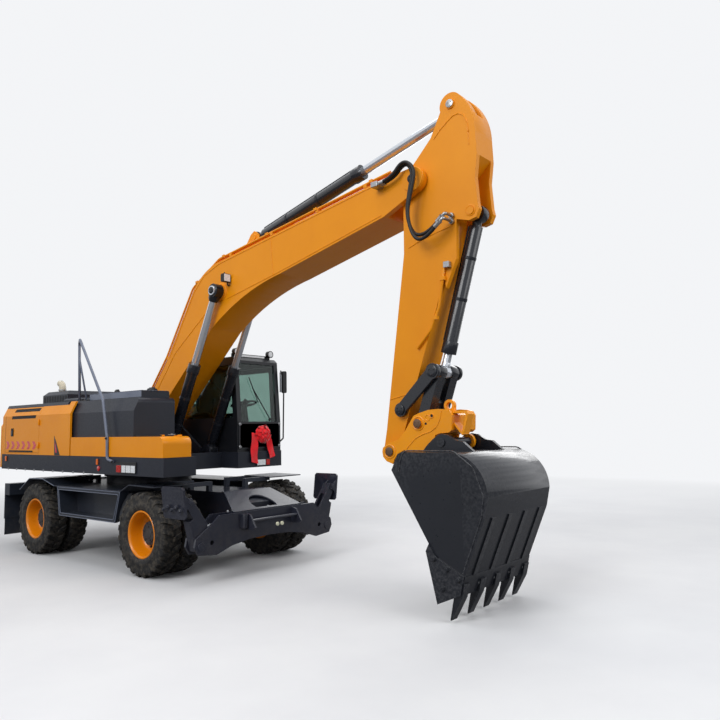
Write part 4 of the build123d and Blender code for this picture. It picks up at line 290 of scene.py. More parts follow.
class Finish(Graph):
    """A material's node graph round its one shader."""

    def __init__(self, name):
        self.material = bpy.data.materials.new(name)
        self.material.use_nodes = True
        super().__init__(self.material.node_tree)
        self.shader = self.tree.nodes["Principled BSDF"]
        self.place = self.node("ShaderNodeTexCoord").outputs["Object"]

    def set(self, **values):
        """Feeds the shader's sockets, named with underscores."""
        for key, value in values.items():
            self.feed(self.shader.inputs[key.replace("_", " ")], value)
        return self

    def stretched(self, stretch):
        mapping = self.node("ShaderNodeMapping", {"Vector": self.place, "Scale": stretch})
        return mapping.outputs["Vector"]

    def noise(self, scale, detail=3, rough=0.55, stretch=None):
        """Cloudy noise over the surface, features per metre."""
        place = self.stretched(stretch) if stretch else self.place
        values = {"Vector": place, "Scale": scale, "Detail": detail, "Roughness": rough}
        return self.node("ShaderNodeTexNoise", values).outputs["Fac"]

    def levels(self, value, low, high, bottom=0.0, top=1.0):
        """Stretches a value between two levels."""
        values = {"Value": value, "From Min": low, "From Max": high, "To Min": bottom, "To Max": top}
        return self.node("ShaderNodeMapRange", values).outputs["Result"]

    def times(self, a, b):
        return self.node("ShaderNodeMath", {0: a, 1: b}, operation="MULTIPLY").outputs["Value"]

    def mix(self, share, under, over):
        """One colour laid over another by a share."""
        values = {"Factor": share, "A": under, "B": over}
        return self.node("ShaderNodeMix", values, data_type="RGBA").outputs["Result"]

    def height(self):
        """The place's height above the ground at rest."""
        return self.node("ShaderNodeSeparateXYZ", {"Vector": self.place}).outputs["Z"]

    def edges(self):
        """Where the surface turns outward sharply."""
        return self.levels(self.node("ShaderNodeNewGeometry").outputs["Pointiness"], 0.53, 0.6)

    def bump(self, value, strength, distance):
        made = self.node("ShaderNodeBump", {"Height": value, "Strength": strength, "Distance": distance})
        return self.set(Normal=made.outputs["Normal"])


def painted(name, colour, second, rough=0.32, coat=0.35, dust=0.0, dust_top=1.4, wear_and_highlight=0.0, peel=0.06):
    """Sprayed steel: slight cloudiness, orange peel, a thin dust low down and paler edges, worn on the bucket
    and coupler and partly a painted highlight on the support.
    """
    made = Finish(name)
    cloud = made.levels(made.noise(2.2, 5), 0.35, 0.7)
    base = made.mix(made.times(cloud, 0.55), shade(*colour), shade(*second))
    fine = made.noise(38, 4)
    if dust:
        low = made.levels(made.height(), dust_top, 0.2)
        share = made.times(made.times(low, made.levels(made.noise(7, 6, 0.65), 0.4, 0.75)), dust)
        base = made.mix(share, base, DUST)
    # Paler edges toward bare steel: real wear, and on the support paint partly a painted highlight.
    if wear_and_highlight:
        worn_and_lit_edges = made.times(made.edges(), made.levels(fine, 0.42, 0.62))
        base = made.mix(made.times(worn_and_lit_edges, wear_and_highlight), base, BARE_STEEL_AND_HIGHLIGHT)
    made.set(Base_Color=base, Roughness=made.levels(fine, 0.3, 0.7, rough - 0.05, rough + 0.09))
    made.set(Coat_Weight=coat, Coat_Roughness=0.12, IOR=1.48, Specular_IOR_Level=0.28)
    return made.bump(made.noise(140, 2), peel, 0.0006).material


def cast_iron():
    made = Finish("cast_iron")
    grain = made.noise(160, 4)
    base = made.mix(made.levels(made.noise(9, 5), 0.35, 0.7), shade(40, 41, 45), shade(60, 58, 57))
    made.set(Base_Color=base, Roughness=made.levels(grain, 0.3, 0.7, 0.5, 0.72))
    return made.bump(grain, 0.35, 0.0015).material


def chrome():
    made = Finish("chrome_rod")
    brushed = made.noise(400, 2, stretch=(0.05, 1, 1))
    base = made.mix(brushed, shade(196, 202, 210), shade(226, 230, 236))
    rough = made.levels(brushed, 0.3, 0.7, 0.06, 0.16)
    return made.set(Base_Color=base, Roughness=rough, Metallic=0.7).material


def zinc():
    made = Finish("zinc_steel")
    cloud = made.noise(90, 4)
    base = made.mix(made.levels(cloud, 0.35, 0.65), shade(176, 178, 180), shade(140, 142, 146))
    rough = made.levels(cloud, 0.3, 0.7, 0.25, 0.45)
    return made.set(Base_Color=base, Roughness=rough, Metallic=0.9).material


def rubber(name, colour, rough=0.72, dust=0.0, grain=220):
    made = Finish(name)
    cloud = made.levels(made.noise(11, 6, 0.65), 0.42, 0.72)
    base = made.mix(made.times(cloud, 0.35), shade(*colour), scaled(shade(*colour), 1.8))
    if dust:
        base = made.mix(made.times(made.levels(made.noise(17, 6, 0.7), 0.45, 0.75), dust), base, DUST)
    fine = made.noise(grain, 4)
    made.set(Base_Color=base, Roughness=made.levels(fine, 0.3, 0.7, rough - 0.08, rough + 0.1))
    return made.bump(fine, 0.25, 0.0012).set(Specular_IOR_Level=0.35).material


def glass(name, tint, rough=0.02):
    made = Finish(name)
    smear = made.noise(3.5, 5)
    base = made.mix(made.levels(smear, 0.4, 0.8), shade(*tint), scaled(shade(*tint), 0.92))
    made.set(Base_Color=base, Roughness=made.levels(smear, 0.4, 0.75, rough, rough + 0.03))
    return made.set(Transmission_Weight=1.0, IOR=1.45).material


def lens(name, colour, glow=0.0):
    """Clear moulded plastic with a cell pattern, glowing a little."""
    made = Finish(name)
    bright = shade(*colour)
    cell = made.node("ShaderNodeTexVoronoi", {"Vector": made.place, "Scale": 70}).outputs["Distance"]
    base = made.mix(made.levels(cell, 0.1, 0.6), bright, scaled(bright, 0.7))
    made.set(Base_Color=base, Roughness=0.12, Coat_Weight=0.8)
    made.set(Emission_Color=bright, Emission_Strength=glow)
    return made.bump(cell, 0.3, 0.002).material


def fabric(name, colour, second, scale=900, sheen=0.5):
    """A woven cloth: threads both ways."""
    made = Finish(name)
    threads = []
    for stretch in ((1, 0, 0.3), (0, 1, 1)):
        values = {"Vector": made.stretched(stretch), "Scale": scale}
        threads.append(made.node("ShaderNodeTexWave", values).outputs["Fac"])
    faded = made.levels(made.noise(14, 4), 0.3, 0.7)
    made.set(Base_Color=made.mix(faded, shade(*colour), shade(*second)))
    made.bump(made.times(*threads), 0.25, 0.0008)
    return made.set(Roughness=0.8, Sheen_Weight=sheen, Sheen_Roughness=0.4).material


DUST = shade(150, 138, 120)
BARE_STEEL_AND_HIGHLIGHT = shade(125, 126, 130)

ORANGE = painted("orange_paint", (236, 148, 4), (226, 137, 2), 0.4, 0.12, dust=0.04)
COUPLER_ORANGE = painted("coupler_paint", (246, 158, 6), (238, 148, 4), 0.34, 0.2, wear_and_highlight=0.12)
CHARCOAL = painted("charcoal_paint", (36, 40, 50), (29, 33, 42), 0.42, 0.1, dust=0.08)
BLACK = painted("black_paint", (26, 28, 33), (20, 22, 27), 0.36, 0.3, dust=0.12)
CHASSIS = painted("chassis_paint", (28, 31, 41), (21, 24, 32), 0.38, 0.18, 0.15, 0.9)
# The support's paler edges are partly a painted highlight, the glossy paint's sheen along its edges.
SUPPORT = painted("support_paint", (38, 41, 54), (29, 31, 42), 0.34, 0.45, 0.15, 0.8, wear_and_highlight=0.2)
BUCKET = painted("bucket_paint", (33, 36, 43), (26, 28, 34), 0.32, 0.4, wear_and_highlight=0.35, peel=0.1)
CYLINDER = painted("cylinder_paint", (30, 33, 40), (24, 26, 32), 0.28, 0.5)
RIM_ORANGE = painted("rim_paint", (238, 140, 8), (224, 126, 4), 0.3, 0.45)
GREY_RAIL = painted("rail_paint", (112, 120, 138), (92, 99, 116), 0.34, 0.3)
CREAM = painted("cream_paint", (214, 206, 186), (196, 186, 162), 0.4, 0.2)
FRAME_BLUE = painted("frame_paint", (44, 49, 60), (33, 38, 47), 0.36, 0.35, 0.15, 0.9)
RED_TAPE = painted("red_reflector", (206, 26, 52), (190, 18, 42), 0.28, 0.6)
WHITE_CAP = painted("pale_cap", (226, 226, 200), (206, 206, 176), 0.35, 0.4)
RUSTY = painted("rusty_pin", (112, 86, 66), (72, 60, 52), 0.5, 0.1)
CAST = cast_iron()
CHROME = chrome()
ZINC = zinc()
TYRE = rubber("tyre_rubber", (30, 30, 31), 0.7, dust=0.3)
HOSE = rubber("hose_rubber", (24, 24, 26), 0.5, grain=500)
GASKET = rubber("seal_rubber", (18, 18, 20), 0.6)
PLASTIC = rubber("black_plastic", (32, 33, 36), 0.45, grain=700)
GLASS = glass("cab_glass", (168, 192, 184))
SEAT_CLOTH = fabric("seat_cloth", (50, 52, 58), (38, 40, 46))
RIBBON = fabric("ribbon_cloth", (246, 8, 30), (228, 4, 24), 1500, 0.8)
WHITE_LENS = lens("white_lens", (232, 236, 240), 0.15)
RED_LENS = lens("red_lens", (198, 24, 16), 0.05)
AMBER_LENS = lens("amber_lens", (244, 112, 10), 0.08)


# Stage: pale floor, soft light and the camera at the photograph's place

BACKDROP = (0.9, 0.91, 0.93, 1)
FLOOR_REACH = 60
FLOOR_FADE = (7, 17)


def lay_floor():
    """A pale floor that takes the object's shadow and fades into the backdrop with distance."""
    mesh = bpy.data.meshes.new("floor")
    corners = [(x * FLOOR_REACH, y * FLOOR_REACH, 0) for x, y in ((-1, -1), (1, -1), (1, 1), (-1, 1))]
    mesh.from_pydata(corners, [], [(0, 1, 2, 3)])
    made = Finish("floor_paint")
    seen = made.node("ShaderNodeLightPath").outputs["Is Camera Ray"]
    cloud = made.levels(made.noise(0.6, 6), 0.35, 0.7)
    pale = made.mix(cloud, shade(222, 223, 225), shade(214, 215, 218))
    made.set(Base_Color=made.mix(seen, shade(120, 120, 122), pale), Roughness=0.75, Specular_IOR_Level=0.2)
    distance = made.node("ShaderNodeVectorMath", {0: made.place}, operation="LENGTH").outputs["Value"]
    far = made.node("ShaderNodeEmission", {"Color": BACKDROP}).outputs[0]
    share = made.times(made.levels(distance, *FLOOR_FADE), seen)
    surface = made.tree.nodes["Material Output"].inputs["Surface"]
    made.feed(surface, made.blend(share, made.shader.outputs[0], far))
    mesh.materials.append(made.material)
    add_object("floor", mesh)


def hang_sky():
    """A soft even sky that the camera, metal and glass see as the pale backdrop."""
    world = bpy.data.worlds.new("sky")
    bpy.context.scene.world = world
    world.use_nodes = True
    world.node_tree.nodes.clear()
    sky = Graph(world.node_tree)
    rays = sky.node("ShaderNodeLightPath")
    seen = rays.outputs["Is Camera Ray"]
    for kind in ("Is Transmission Ray", "Is Glossy Ray"):
        seen = sky.node("ShaderNodeMath", {0: seen, 1: rays.outputs[kind]}, operation="MAXIMUM").outputs[0]
    soft = sky.node("ShaderNodeBackground", {"Color": (0.97, 0.98, 1.0, 1), "Strength": 0.5})
    backdrop = sky.node("ShaderNodeBackground", {"Color": BACKDROP, "Strength": 1.0})
    sky.node("ShaderNodeOutputWorld", {0: sky.blend(seen, soft.outputs[0], backdrop.outputs[0])})


def stage():
    lay_floor()
    hang_sky()
    for name, place, target, size, power in (
        ("key", (3, -12, 10), (0.5, 0, 1.5), 7, 1000),
        ("front", (13, 1, 7), (1.5, 0, 1.5), 7, 430),
        ("left", (-2, 13, 8), (0, 0, 1.5), 8, 480),
        ("top", (0, 0, 13), (0, 0, 0), 10, 480),
    ):
        data = bpy.data.lights.new(name, "AREA")
        data.size = size
        data.energy = power
        lamp = add_object(name, data)
        lamp.location = place
        lamp.rotation_euler = (Vector(target) - Vector(place)).to_track_quat("-Z", "Y").to_euler()
    bpy.context.scene.view_settings.view_transform = "Standard"


def camera():
    """The photograph's place: in front and to the right, at a person's height."""
    yaw, pitch, roll = 2.26459135, 0.0985964902, -0.0167716002
    place = Vector((8.98996222, -6.08772812, 1.78123735)) + SET_DOWN * MM
    focal_pixels, picture_pixels, sensor = 685.291917, 720, 36
    ahead = Vector((math.cos(yaw) * math.cos(pitch), math.sin(yaw) * math.cos(pitch), math.sin(pitch)))
    level = Vector((math.sin(yaw), -math.cos(yaw), 0))
    upright = level.cross(ahead)
    right = level * math.cos(roll) + upright * math.sin(roll)
    up = upright * math.cos(roll) - level * math.sin(roll)
    data = bpy.data.cameras.new("camera")
    data.sensor_fit = "HORIZONTAL"
    data.sensor_width = sensor
    data.lens = focal_pixels / picture_pixels * sensor
    data.clip_end = 200
    eye = add_object("camera", data)
    eye.matrix_world = Matrix.Translation(place) @ Matrix((right, up, -ahead)).transposed().to_4x4()
    bpy.context.scene.camera = eye


# Solids that are shown as they are, with their finish and the width of their softened edges

NODE_FINISHES = (
    (CHASSIS, 5, "chassis_frame"),
    (CHASSIS, 3, "front_axle rear_axle knuckle_left knuckle_right drive_line"),
    (FRAME_BLUE, 2, "fenders_steps"),
    (SUPPORT, 4, "support_frame support_leg_left support_leg_right support_pad_left support_pad_right"),
    (CYLINDER, 2, "support_barrel_left support_barrel_right"),
    (CYLINDER, 3, "boom_barrels arm_barrel bucket_barrel"),
    (CYLINDER, 4, "idler_links h_link"),
    (CHROME, 0, "steering_rod support_rod_left support_rod_right"),
    (CHROME, 2, "boom_rods arm_rod bucket_rod"),
    (CHARCOAL, 5, "upper_frame"),
    (CHARCOAL, 8, "engine_hood"),
    (CHARCOAL, 10, "tank_cover"),
    (ORANGE, 1.5, "boom_pipes"),
    (ORANGE, 4, "side_door_left side_door_right"),
    (ORANGE, 5, "engine_house toolbox_lid"),
    (ORANGE, 6, "arm"),
    (ORANGE, 7, "boom"),
    (ORANGE, 8, "low_boxes"),
    (ORANGE, 14, "counterweight"),
    (CAST, 6, "engine_block"),
    (GREY_RAIL, 0, "handrails"),
    (CREAM, 2, "exhaust_stack"),
    (BLACK, 4, "cab_shell cab_door"),
    (GLASS, 1, "cab_windows cab_door_window"),
    (PLASTIC, 3, "lamps cab_controls cab_mirror"),
    (COUPLER_ORANGE, 4, "coupler"),
    (BUCKET, 4, "bucket"),
)


def dress():
    for finish, bevel, nodes in NODE_FINISHES:
        for node in nodes.split():
            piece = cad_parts[node]
            piece.data.materials.clear()
            piece.data.materials.append(finish)
            weld = piece.modifiers.new("joined", "WELD")
            weld.merge_threshold = 0.00005
            even = piece.modifiers.new("flat", "DECIMATE")
            even.decimate_type = "DISSOLVE"
            even.angle_limit = math.radians(0.6)
            if bevel:
                soften(piece, bevel)


# Wheels

HUB_Z = 518
AXLE_X = 1400
OUTER_Y, INNER_Y = 1112.5, 792.5
LUGS = 24
SHOULDER_Y = 128
# Half the tyre's section, from the middle of the tread to the bead: place across, radius
TYRE_HALF = [
    (0, 494.5), (60, 494), (112, 491), (124, 482), (131, 462), (133, 430), (134, 372), (137, 366),
    (137, 352), (134, 330), (124, 304), (108, 288), (104, 262),
]
# A lug from the tread's middle out over the shoulder: place across, outer and inner radius, half width, lean
LUG_STATIONS = [
    (5, 517, 490, 0.046, 0.000),
    (48, 518, 490, 0.056, 0.022),
    (96, 517, 488, 0.064, 0.050),
    (122, 508, 482, 0.066, 0.062),
    (136, 484, 466, 0.064, 0.064),
    (137, 452, 450, 0.058, 0.064),
]
# Sections of the twin wheel: place out from the rim's own middle, radius
OUTER_RIM = [
    (-117, 262), (-117, 291), (-106, 292), (-103, 263), (103, 263), (106, 292), (112, 293), (117, 288),
    (117, 274), (108, 264), (92, 258), (30, 250), (-30, 240), (-62, 222), (-80, 196), (-86, 120), (-104, 120),
    (-100, 205), (-117, 240), (-117, 262),
]
INNER_RIM = [
    (-117, 240), (-117, 291), (-106, 292), (-103, 263), (103, 263), (106, 292), (117, 288), (117, 240),
    (80, 230), (74, 120), (58, 120), (50, 228), (-60, 240), (-117, 240),
]
HUB_INSIDE = [(-60, 0), (-60, 130), (50, 132), (56, 164)]
HUB_OUTSIDE = [
    (-86, 164), (-60, 164), (-52, 156), (-6, 146), (2, 138), (2, 118), (14, 112), (14, 62), (20, 56), (20, 0),
]


def out_by(section, y):
    return [(y + place, radius) for place, radius in section]


def turned(shape, profile, sides, y_middle=0):
    """A profile turned round the wheel's own axle."""
    return shape.lathe(profile, (0, y_middle, HUB_Z), (0, 1, 0), sides)


def round_hub(radius, y, angle):
    return (radius * math.cos(angle), y, HUB_Z + radius * math.sin(angle))


def tyre_shape(y_middle):
    """A lugged tyre with two rows of blocks, standing off a smooth body."""
    section = [(-y, radius) for y, radius in TYRE_HALF[:0:-1]] + TYRE_HALF
    shape = turned(Shape(), section, 96, y_middle)
    pitch = FULL_TURN / LUGS
    for side in (-1, 1):
        for i in range(LUGS):
            middle = (i + 0.25 * side) * pitch
            loops = []
            for y, outer, inner, half, lean in LUG_STATIONS:
                low_y = min(y, SHOULDER_Y)
                corners = ((outer, y, 0.88), (outer, y, -0.88), (inner, low_y, -1), (inner, low_y, 1))
                loops.append([
                    round_hub(radius, y_middle + side * place, middle + lean * 1.6 + half * share)
                    for radius, place, share in corners
                ])
            shape.skin(loops)
    return shape


def rim_shape():
    """Both rims of a twin wheel as one turned shell, with the outer one's deep dish."""
    shape = Shape()
    turned(shape, out_by(OUTER_RIM, OUTER_Y), 72)
    turned(shape, out_by(INNER_RIM, INNER_Y), 72)
    ends = (INNER_Y + 112, OUTER_Y - 112)
    spacer = [(ends[0], 240), (ends[0], 258), (ends[1], 258), (ends[1], 240), (ends[0], 240)]
    return turned(shape, spacer, 48)


def hub_shape():
    """The dark hub with its studs, planet carrier and cap."""
    shape = turned(Shape(), out_by(HUB_INSIDE, INNER_Y) + out_by(HUB_OUTSIDE, OUTER_Y), 48)
    for i in range(10):
        place = round_hub(182, OUTER_Y - 84, FULL_TURN * i / 10)
        shape.bolt(place, (0, 1, 0), 26, 20)
        shape.bar(place, (place[0], place[1] + 34, place[2]), 8, sides=10)
    for i in range(12):
        shape.bolt(round_hub(128, OUTER_Y + 1, FULL_TURN * (i + 0.5) / 12), (0, 1, 0), 14, washer=False)
    for i in range(5):
        shape.bolt(round_hub(86, OUTER_Y + 13, FULL_TURN * i / 5 + 0.3), (0, 1, 0), 18)
    return shape


def wheels():
    valve_run = [(150, 1030, HUB_Z - 130), (160, 1075, HUB_Z - 140), (176, 1100, HUB_Z - 152)]
    for end, x in (("front", AXLE_X), ("rear", -AXLE_X)):
        for hand in ("left", "right"):
            wheel = f"{end}_{hand}"
            valve = Shape().pipe(valve_run, 6, 20).bar(valve_run[-1], (188, 1118, HUB_Z - 160), 8, 6)
            for shape, name, finish, slot, bevel, angle, stands_for in (
                (tyre_shape(OUTER_Y), "tyre_outer", TYRE, "tyre", 0, 30, "tyres"),
                (tyre_shape(INNER_Y), "tyre_inner", TYRE, "tyre", 0, 30, "tyres"),
                (rim_shape(), "rims_turned", RIM_ORANGE, "rim", 0, 30, "rims"),
                (hub_shape(), "hub", CAST, "cast", 1.5, 38, None),
                (valve, "valve", ZINC, "rod", 0, 38, None),
            ):
                if hand == "right":
                    shape.flip_y()
                piece = shape.moved(x).put(f"{name}_{wheel}", f"wheel_{wheel}", finish, slot, bevel, angle)
                if stands_for:
                    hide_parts(f"{stands_for}_{wheel}")


# Details on the upper structure

SIDE_Y = 1270
HOUSE_SHOULDER, HOUSE_TOP, HOUSE_LEAN = 2050, 2225, 85
LEDGE_Z = 2318
CAB_FRONT_LOW, CAB_FRONT_HIGH = (1230, 1900), (1160, 2810)


def side_y(z):
    """How far out the house's side stands at a height."""
    return SIDE_Y - max(0, HOUSE_LEAN * (z - HOUSE_SHOULDER) / (HOUSE_TOP - HOUSE_SHOULDER))


def lean_strip(shape, side, x, low, high, depth, thick):
    """A strip along the house's side that follows its lean, sunk by a depth."""
    a, b = side_y(low) - depth, side_y(high) - depth
    corners = ((a, low), (b, high), (b + thick, high), (a + thick, low))
    shape.skin([[(place, side * y, z) for y, z in corners] for place in x])


def on_side(side, low, high):
    """From how far to how far out from the house's side a detail stands, on that side."""
    return side * (SIDE_Y + low), side * (SIDE_Y + high)


def doors_trim():
    """Louvres with painted shade behind their slats, latch, red chevrons and a slotted strip with painted
    shade in its slots, on each rear side door.
    """
    for side, name in SIDES:
        dark, slats, marks = shapes(3)
        # The dark strips behind the louvres' slats and under the slotted strip's slats are painted shade in
        # the openings.
        for low, rear, front in ((2110, -2165, -1295), (2005, -2195, -1360)):
            lean_strip(dark, side, (rear, front), low, low + 48, 9.4, 2)
            for i in range(4):
                z = low + 6 + 10.5 * i
                lean_strip(slats, side, (rear + 14, front - 14), z, z + 3, 8, 5)
        for i in range(6):
            x, z = -2362 + 178 * i, 1600
            tip = [(x, z - 60), (x + 78, z - 60), (x + 132, z), (x + 78, z + 60), (x, z + 60), (x + 54, z)]
            marks.slab(tip, *on_side(side, -0.5, 1))
        dark.box((-2262, -1450), on_side(side, -0.5, 1), (1496, 1522))
        for i in range(40):
            x = -2254 + 20.4 * i
            slats.box((x, x + 8), on_side(side, 0.5, 3), (1499, 1519))
        dark.box((-2190, -2108), on_side(side, -1, 6), (1738, 1862))
        slats.box((-2178, -2120), on_side(side, 4, 14), (1752, 1822))
        body = f"side_door_{name}"
        dark.put(f"door_painted_shade_and_latch_plate_{name}", body, GASKET, "black", 0.5)
        slats.put(f"door_slats_{name}", body, BLACK, "black", 0.6)
        marks.put(f"door_chevrons_{name}", body, RED_TAPE, "lens")


def house_trim():
    """The dark fin with its red heart, the hood's grilles, whose dark slots are painted shade, and its
    latches, and the ballast's caps.
    """
    outline = [(-771, 1463), (-611, 1463), (-668, 1560), (-722, 1650), (-788, 1743)]
    fin = Shape().slab(outline, *on_side(-1, -1, 3))
    heart = Shape().slab([(-738, 1500), (-694, 1500), (-722, 1580), (-760, 1668)], *on_side(-1, 2, 4.5))
    grille, latches, caps, tail = shapes(4)
    for side in (-1, 1):
        fin.box((-2396, -2388), on_side(side, -12, 0.4), (1462, 2050))
    # The dark strips in the hood's grille slots are painted shade in the openings.
    for i in range(9):
        x = -1900 + 84 * i
        for y in ((-901.5, -896), (556, 561.5)):
            grille.box((x, x + 50), y, (2262, 2352))
    for y in (-560, 220):
        grille.box((-2470, -2440), (y - 60, y + 60), (2224, 2236))
    for side in (-1, 1):
        y = side * 700
        latches.box((-2482, -2400), (y - 26, y + 26), (2224, 2231))
        latches.bar((-2441, y, 2230), (-2441, y, 2240), 16)
        y = side * 880
        caps.lathe([(-3, 0), (-3, 62), (4, 62), (7, 56), (7, 0)], (-2720, y, 2062), UP, 28)
        caps.bar((-2720, y, 2068), (-2720, y, 2071), 22)
        disc = [(-3, 0), (-3, 42), (7, 42), (11, 36), (12, 0)]
        tail.lathe(disc, (-2671, side * 1120, 1430), (-0.841, side * 0.54, 0), 28)
    fin.put("house_fin", "upper", BLACK, "black", 1)
    heart.put("house_fin_heart", "upper", RED_TAPE, "lens", 0.6)
    grille.put("hood_grille_shade", "engine_hood", GASKET, "black", 1)
    latches.put("hood_latches", "engine_hood", ZINC, "rod", 1)
    caps.put("ballast_lift_caps", "upper", BLACK, "black", 1)
    tail.put("tail_reflectors", "upper", RED_TAPE, "lens", 2)


def skirt_trim():
    """Side markers, lamp lenses in their black blocks and the bolts of the dark skirt."""
    amber, red, white, black, bolts = shapes(5)
    for side in (-1, 1):
        for x in (427, -2330):
            black.box((x - 26, x + 26), on_side(side, -2, 6), (1346, 1434))
            amber.box((x - 20, x + 20), on_side(side, 5, 17), (1352, 1428))
        wall = side * (SIDE_Y - 1)
        red.lathe([(0, 0), (0, 34), (8, 34), (12, 26), (13, 0)], (450, wall, 1303), (0, side, 0), 24)
        for i in range(9):
            bolts.bolt((-2250 + 290 * i, wall, 1236), (0, side, 0), 18)
    red.box((906, 1012), (-1288, -1283), (1268, 1357))
    white.box((1032, 1334), (-1288, -1283), (1268, 1357))
    red.box((1289, 1294), (944, 1012), (1257, 1338))
    white.box((1289, 1294), (766, 926), (1257, 1338))
    black.box((896, 1344), (-1286, -1282), (1257, 1368))
    for x in (1128, 1236):
        black.box((x - 3, x + 3), (-1290, -1286), (1266, 1359))
    for y in (530, 1200):
        place = (1109, y, 2942)
        white.lathe([(0, 0), (0, 46), (5, 44), (8, 30), (9, 0)], place, (1, 0, 0), 32)
        black.lathe([(-6, 44), (-6, 55), (8, 55), (8, 45), (-6, 44)], place, (1, 0, 0), 32)
    white.box((1068, 1072), (620, 1110), (2876, 2904))
    amber.put("side_markers", "upper", AMBER_LENS, "lens", 3)
    red.put("red_lenses", "upper", RED_LENS, "lens", 2)
    white.put("white_lenses", "upper", WHITE_LENS, "lens", 2)
    black.put("lamp_frames", "upper", PLASTIC, "black", 1.5)
    bolts.put("skirt_bolts", "upper", ZINC, "rod")


def ledge_trim():
    """The tank ledge's plate with its grip studs, filler caps and rail feet."""
    fascia, studs, caps, feet = shapes(4)
    fascia.box((-188, 1108), (-1067.5, -1064), (2232, 2312))
    fascia.box((-188, 1108), (-1064, -642), (LEDGE_Z - 2.5, LEDGE_Z + 0.5))
    for i in range(26):
        for j in range(8):
            place = (-160 + 49.5 * i, -1035 + 52 * j, LEDGE_Z)
            studs.lathe([(0, 0), (0, 11), (4, 8), (4, 0)], place, UP, 8)
    for x, y, radius in ((930, -790, 74), (250, -900, 44)):
        base = LEDGE_Z - 1
        lip = [(0, 0), (0, radius), (16, radius), (18, radius * 0.9)]
        crown = [(34, radius * 0.86), (40, radius * 0.7), (40, 0)]
        caps.lathe(lip + crown, (x, y, base), UP, 32)
        caps.box((x - radius * 0.8, x + radius * 0.8), (y - 9, y + 9), (base + 38, base + 54))
    for x in (-428, -222):
        feet.box((x - 52, x + 52), (-1128, -1052), (2225, 2233))
        for dx in (-38, 38):
            for y in (-1078, -1104):
                feet.bolt((x + dx, y, 2233), UP, 16)
    for x, z in ((840, 1400), (686, 1700)):
        feet.bolt((x, -1309, z), (0, -1, 0), 20)
    fascia.put("ledge_plate", "upper", GREY_RAIL, "charcoal", 1.5)
    studs.put("ledge_studs", "upper", GREY_RAIL, "charcoal", angle=60)
    caps.put("filler_caps", "upper", PLASTIC, "black", 2)
    feet.put("rail_feet", "upper", BLACK, "black", 1)


def lid_trim():
    """The toolbox lid's seal and latch, and the clamp on the exhaust stack."""
    seal = Shape()
    seal.box((1222, 1228), (-1206, -866), (1713, 1733.5))
    seal.box((1222, 1780), (-1208, -1204), (1713, 1733.5))
    seal.put("lid_seal", "toolbox_lid", GASKET, "black", 1)
    latch = Shape().box((1700, 1784), (-1062, -1010), (1733, 1741))
    latch.bar((1742, -1036, 1740), (1742, -1036, 1748), 15)
    latch.put("lid_latch", "toolbox_lid", ZINC, "rod", 1)
    band = [(-9, 53), (-9, 60), (9, 60), (9, 53), (-9, 53)]
    clamp = Shape().lathe(band, (-1550, -780, 2452), UP, 32)
    clamp.bolt((-1550, -838, 2452), (0, -1, 0), 12)
    clamp.put("exhaust_clamp", "engine_hood", ZINC, "rod")


def valve_tubes():
    """The valve block on the deck's front, its bright bent tubes and their unions."""
    block, tubes, unions = shapes(3)
    block.box((901, 958), (-430, -130), (1262, 1424))
    block.box((958, 976), (-410, -150), (1290, 1400))
    for i in range(4):
        y = -394 + 62 * i
        run = [(974, y, 1388), (1024, y, 1388), (1024, y, 1262), (1024, y + 30, 1238), (1000, y + 60, 1244)]
        tubes.pipe(run, 10, 26)
        y_low = y + 26
        run = [(974, y_low, 1330), (1000, y_low, 1330), (1000, y_low, 1250), (985, y_low - 18, 1236)]
        tubes.pipe(run, 8, 20)
        unions.bar((972, y, 1388), (1000, y, 1388), 17, sides=6)
        unions.bar((1024, y, 1310), (1024, y, 1338), 15, sides=6)
    block.put("valve_block", "upper", CAST, "cast", 3)
    tubes.put("valve_tubes", "upper", ZINC, "rod")
    unions.put("valve_unions", "upper", ZINC, "rod")


def before_pane(distance, y, z):
    """A place at a distance before the cab's leaning front pane."""
    (low_x, low_z), (high_x, high_z) = CAB_FRONT_LOW, CAB_FRONT_HIGH
    slope = (high_x - low_x) / (high_z - low_z)
    return (low_x + slope * (z - low_z) + 4 + distance, y, z)


